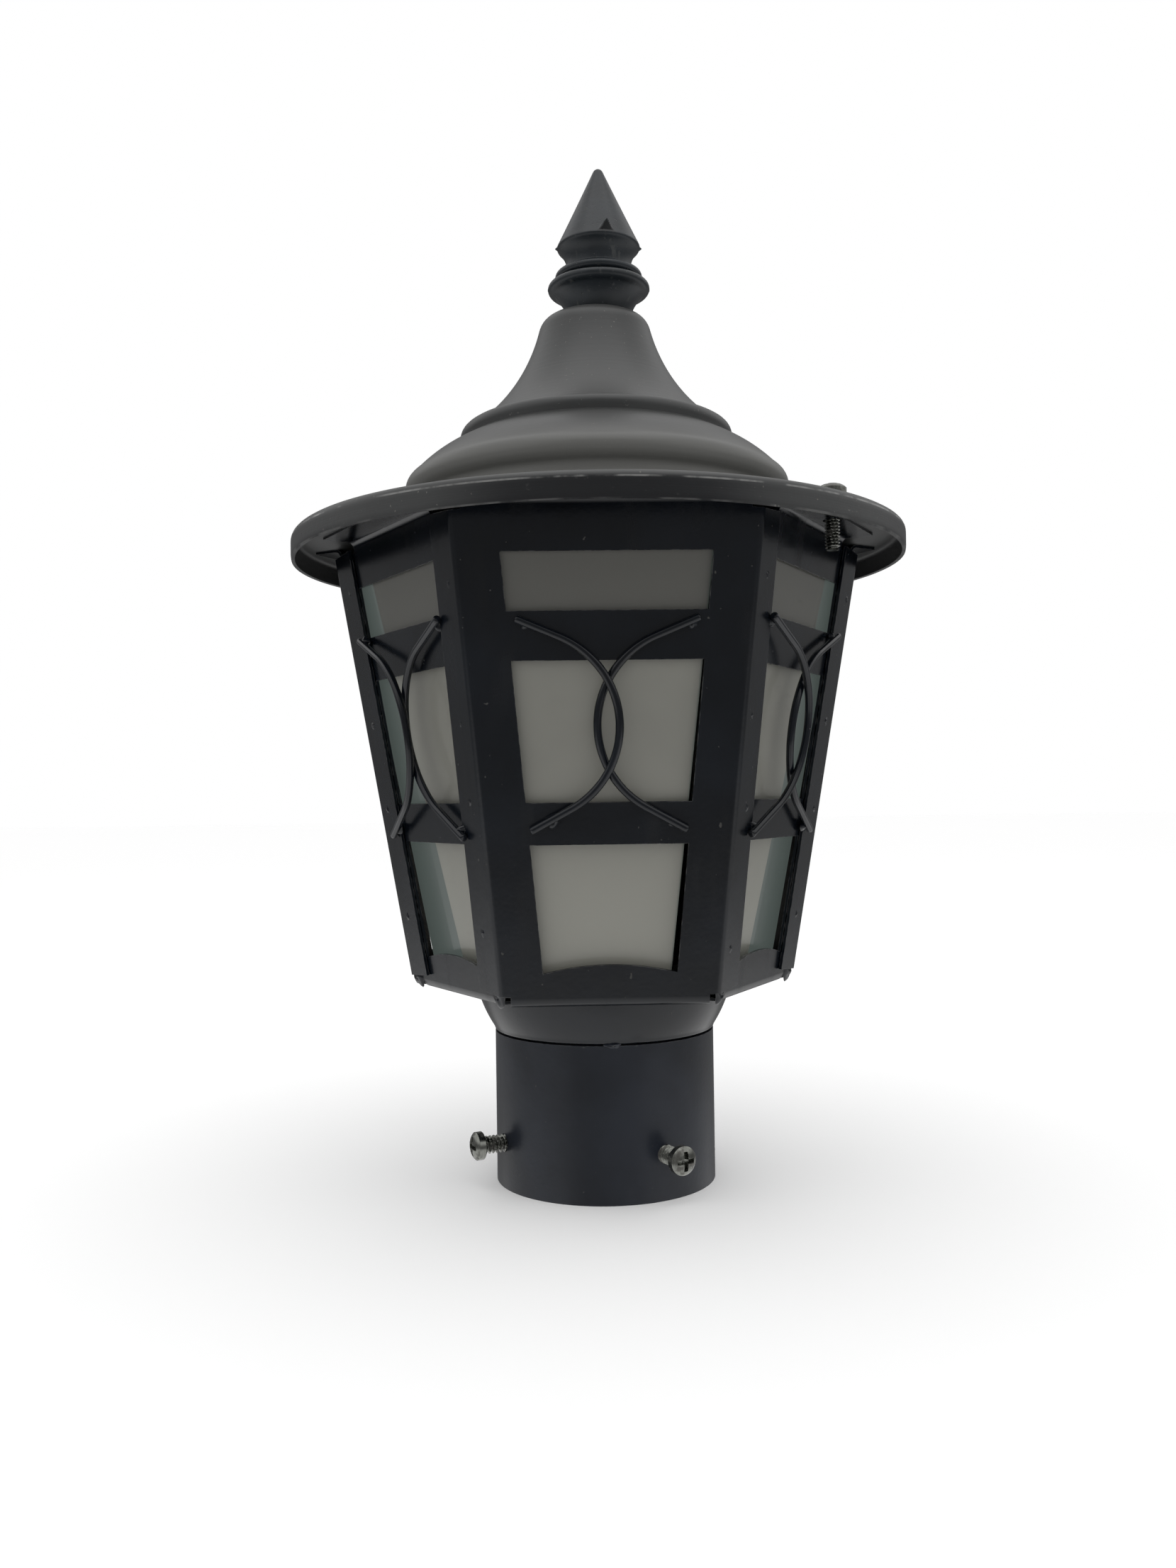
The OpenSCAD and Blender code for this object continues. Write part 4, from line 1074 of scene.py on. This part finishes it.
class LAMP_OT_screws(bpy.types.Operator):
    """Cuts the clamping screws and the roof screws, with threads and crossed slots"""

    bl_idname = "pillar_lamp.screws"
    bl_label = "Screws"

    def execute(self, context):
        size = sizes()
        points, faces = screw(CLAMP_SCREW_LENGTH, size)
        for name, turn in CLAMP_SCREW_TURNS.items():
            out, across = directions(turn)
            origin = out * (size["sleeve_radius"] + size["screw_out"])
            origin[2] = CLAMP_SCREW_HEIGHT
            shape = placed(points, origin, across, UPWARD, out), faces
            add_piece(f"{name}_thread", shape, "screw_steel", body=name, replaces=[name],
                      crease=34)
        thin = {**size, **ROOF_SCREW_THREAD}
        parts = []
        for turn, proud in ROOF_SCREWS:
            points, faces = screw(ROOF_SCREW_LENGTH + proud, thin)
            origin = directions(turn)[0] * ROOF_SCREW_RADIUS
            origin[2] = size["brim_height"] + proud
            away, along = directions(turn / 3 + 20)
            parts.append((placed(points, origin, along, -away, UPWARD), faces))
        add_piece("roof_screw_pair", joined(parts), "screw_steel", replaces=["roof_screws"],
                  crease=34)
        return {"FINISHED"}


# The front pane and the carried-over pieces

# The front pane's move from its solid's place: radians, and millimetres across at the pivot's
# x and height
PANE_TURN = 0.0245
PANE_SHIFT = 1.7
PANE_PIVOT = (-6.3, 103)
PRISM_FACES = ((0, 2, 4, 6), (7, 5, 3, 1), (0, 1, 3, 2), (2, 3, 5, 4), (4, 5, 7, 6), (6, 7, 1, 0))


def turned_pane(solid):
    """The eight corners of a pane, turned in its own plane by a small angle and shifted.

    Each corner goes across by the shift less the angle times its height over the pivot, and up
    by the angle times its distance across from the pivot, along the pane's slope. They come
    sorted by x, y and height, so that outer and inner corners take turns."""
    points = np.array([solid.matrix_world @ v.co for v in solid.data.vertices]) / MM
    points = np.unique(points.round(3), axis=0)
    slope = (points[0, 1] - points[2, 1]) / (points[0, 2] - points[2, 2])
    across = PANE_SHIFT - PANE_TURN * (points[:, 2] - PANE_PIVOT[1])
    rise = PANE_TURN * (points[:, 0] - PANE_PIVOT[0])
    return points + np.column_stack([across, rise * slope, rise])


class LAMP_OT_front_pane(bpy.types.Operator):
    """Lays the slipped front pane anew, less turned than its solid"""

    bl_idname = "pillar_lamp.front_pane"
    bl_label = "Front pane"

    def execute(self, context):
        shape = turned_pane(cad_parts["pane_front"]), [list(face) for face in PRISM_FACES]
        add_piece("pane_front_glass", shape, "frosted_glass", replaces=["pane_front"])
        return {"FINISHED"}


CARRIED_OVER = {
    "black_paint": [f"panel_{side}" for side in SIDES],
    "sleeve_paint": ["sleeve"],
    "frosted_glass": [f"pane_{side}" for side in SIDES[1:]],
    "zinc_sheet": ["base_plate", "pane_clips", "pane_stops"],
    "screw_steel": ["finial_screw", "finial_washer", "terminal_screws", "holder_screws",
                    "holder_nuts"],
    "brass": ["holder_shell", "holder_contact"],
    "holder_plastic": ["holder_body"],
}


class LAMP_OT_carried_over(bpy.types.Operator):
    """Paints the solids that are carried over: panels, sleeve, panes and inner fittings"""

    bl_idname = "pillar_lamp.carried_over"
    bl_label = "Carried-over pieces"

    def execute(self, context):
        for finish, names in CARRIED_OVER.items():
            for name in names:
                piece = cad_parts[name]
                if not piece.material_slots:
                    raise RuntimeError(f"{name} has no material slot")
                for slot in piece.material_slots:
                    slot.link = "OBJECT"
                    slot.material = finishes()[finish]
        return {"FINISHED"}


# The studio

# Where the photograph was taken from, in millimetres and radians
CAMERA_PLACE = (-13.03, -367.69, 103.6)
CAMERA_HEADING, CAMERA_PITCH, CAMERA_ROLL = -0.0257, 0.0111, -0.0138
CAMERA_SENSOR = 36
TOP_LIGHT_PLACE = (0.03, -0.2, 1.0)
TOP_LIGHT_AIM = (0.0, 0.0, 0.15)
TOP_LIGHT_WIDTH = 0.9
FLOOR_REACH = 6.0


def studio_camera(focal):
    """The camera at the photograph's place, level but for a slight tilt and roll."""
    data = bpy.data.cameras.new("camera")
    data.lens = focal
    data.sensor_width = CAMERA_SENSOR
    data.clip_start = 0.01
    camera = bpy.data.objects.new("camera", data)
    bpy.context.scene.collection.objects.link(camera)
    heading = Matrix.Rotation(CAMERA_HEADING, 4, "Z")
    upright = Matrix.Rotation(math.pi / 2 + CAMERA_PITCH, 4, "X")
    place = Matrix.Translation(Vector(CAMERA_PLACE) * MM)
    camera.matrix_world = place @ heading @ upright @ Matrix.Rotation(CAMERA_ROLL, 4, "Z")
    bpy.context.scene.camera = camera


def studio_world(light):
    """An even white light, mirrored as a dim room with a white floor and ceiling.

    On the walls beside the lamp the white comes further down from the ceiling and further up
    from the floor than on those ahead and behind."""
    world = bpy.data.worlds.new("studio")
    g = Graph(world)
    direction = g.node("TexCoord", {}, {}, "Generated")
    depth = g.node("SeparateXYZ", {}, [direction], "Y").size()
    height = g.node("SeparateXYZ", {}, [direction], "Z")
    drop = 0.0 - height
    beside = height.between(0.05, 0.4).largest(drop.between(0.14, 0.38))
    ahead = height.between(0.55, 1.0).largest(drop.between(0.33, 0.45) * 0.6)
    lit = beside + (ahead - beside) * depth.between(0.58, 0.9)
    room = g.blended(lit, (light.dim,) * 3, (1, 1, 1))
    mirrored = g.node("LightPath", {}, {}, "Is Glossy Ray")
    room = g.blended(mirrored, (1, 1, 1), room)
    shader = g.node("Background", {}, {"Color": room, "Strength": light.sky})
    g.node("OutputWorld", {}, {"Surface": shader}, None)
    return world


class LAMP_OT_studio(bpy.types.Operator):
    """Sets the pale floor, the soft light and the camera"""

    bl_idname = "pillar_lamp.studio"
    bl_label = "Studio"

    def execute(self, context):
        scene = context.scene
        light = scene.pillar_lamp_studio
        scene.view_settings.view_transform = "Standard"
        scene.world = studio_world(light)

        lamp = bpy.data.lights.new("top_light", "AREA")
        lamp.shape, lamp.size = "DISK", TOP_LIGHT_WIDTH
        lamp.energy = light.top_light
        holder = bpy.data.objects.new("top_light", lamp)
        holder.location = TOP_LIGHT_PLACE
        way = Vector(TOP_LIGHT_AIM) - Vector(TOP_LIGHT_PLACE)
        holder.rotation_euler = way.to_track_quat("-Z", "Y").to_euler()
        scene.collection.objects.link(holder)

        floor = Finish("pale_floor")
        material = floor.finished(Base_Color=tuple(light.floor), Roughness=0.9,
                                  Specular_IOR_Level=0.1)
        mesh = bpy.data.meshes.new("floor")
        ways = ((-1, -1), (1, -1), (1, 1), (-1, 1))
        corners = [(x * FLOOR_REACH, y * FLOOR_REACH, 0) for x, y in ways]
        mesh.from_pydata(corners, [], [(0, 1, 2, 3)])
        mesh.materials.append(material)
        ground = bpy.data.objects.new("floor", mesh)
        ground.visible_glossy = False
        scene.collection.objects.link(ground)
        studio_camera(light.focal)
        return {"FINISHED"}


class LAMP_PT_sidebar(bpy.types.Panel):
    """The lamp's steps and settings"""

    bl_idname = "LAMP_PT_sidebar"
    bl_label = "Pillar lamp"
    bl_space_type = "VIEW_3D"
    bl_region_type = "UI"
    bl_category = "Lamp"

    def draw(self, context):
        for step in STEPS:
            self.layout.operator(step.bl_idname)
        for group in ("sizes", "finishes", "studio"):
            settings = getattr(context.scene, f"pillar_lamp_{group}")
            box = self.layout.box()
            for name in setting_names(settings):
                box.prop(settings, name)


GROUPS = {"sizes": LampSizes, "finishes": LampFinishes, "studio": LampStudio}
STEPS = (LAMP_OT_roof, LAMP_OT_finial, LAMP_OT_cup, LAMP_OT_rods, LAMP_OT_welds, LAMP_OT_screws,
         LAMP_OT_front_pane, LAMP_OT_carried_over, LAMP_OT_studio)


def register():
    """Registers the settings, the steps and the sidebar."""
    for kind in (*GROUPS.values(), *STEPS, LAMP_PT_sidebar):
        bpy.utils.register_class(kind)
    for name, group in GROUPS.items():
        setattr(bpy.types.Scene, f"pillar_lamp_{name}", bpy.props.PointerProperty(type=group))


def unregister():
    """Takes them out again."""
    for name in GROUPS:
        delattr(bpy.types.Scene, f"pillar_lamp_{name}")
    for kind in (LAMP_PT_sidebar, *reversed(STEPS), *reversed(GROUPS.values())):
        bpy.utils.unregister_class(kind)


def main():
    """Runs every step."""
    register()
    for step in STEPS:
        group, name = step.bl_idname.split(".")
        getattr(getattr(bpy.ops, group), name)()


if __name__ == "__main__":
    main()
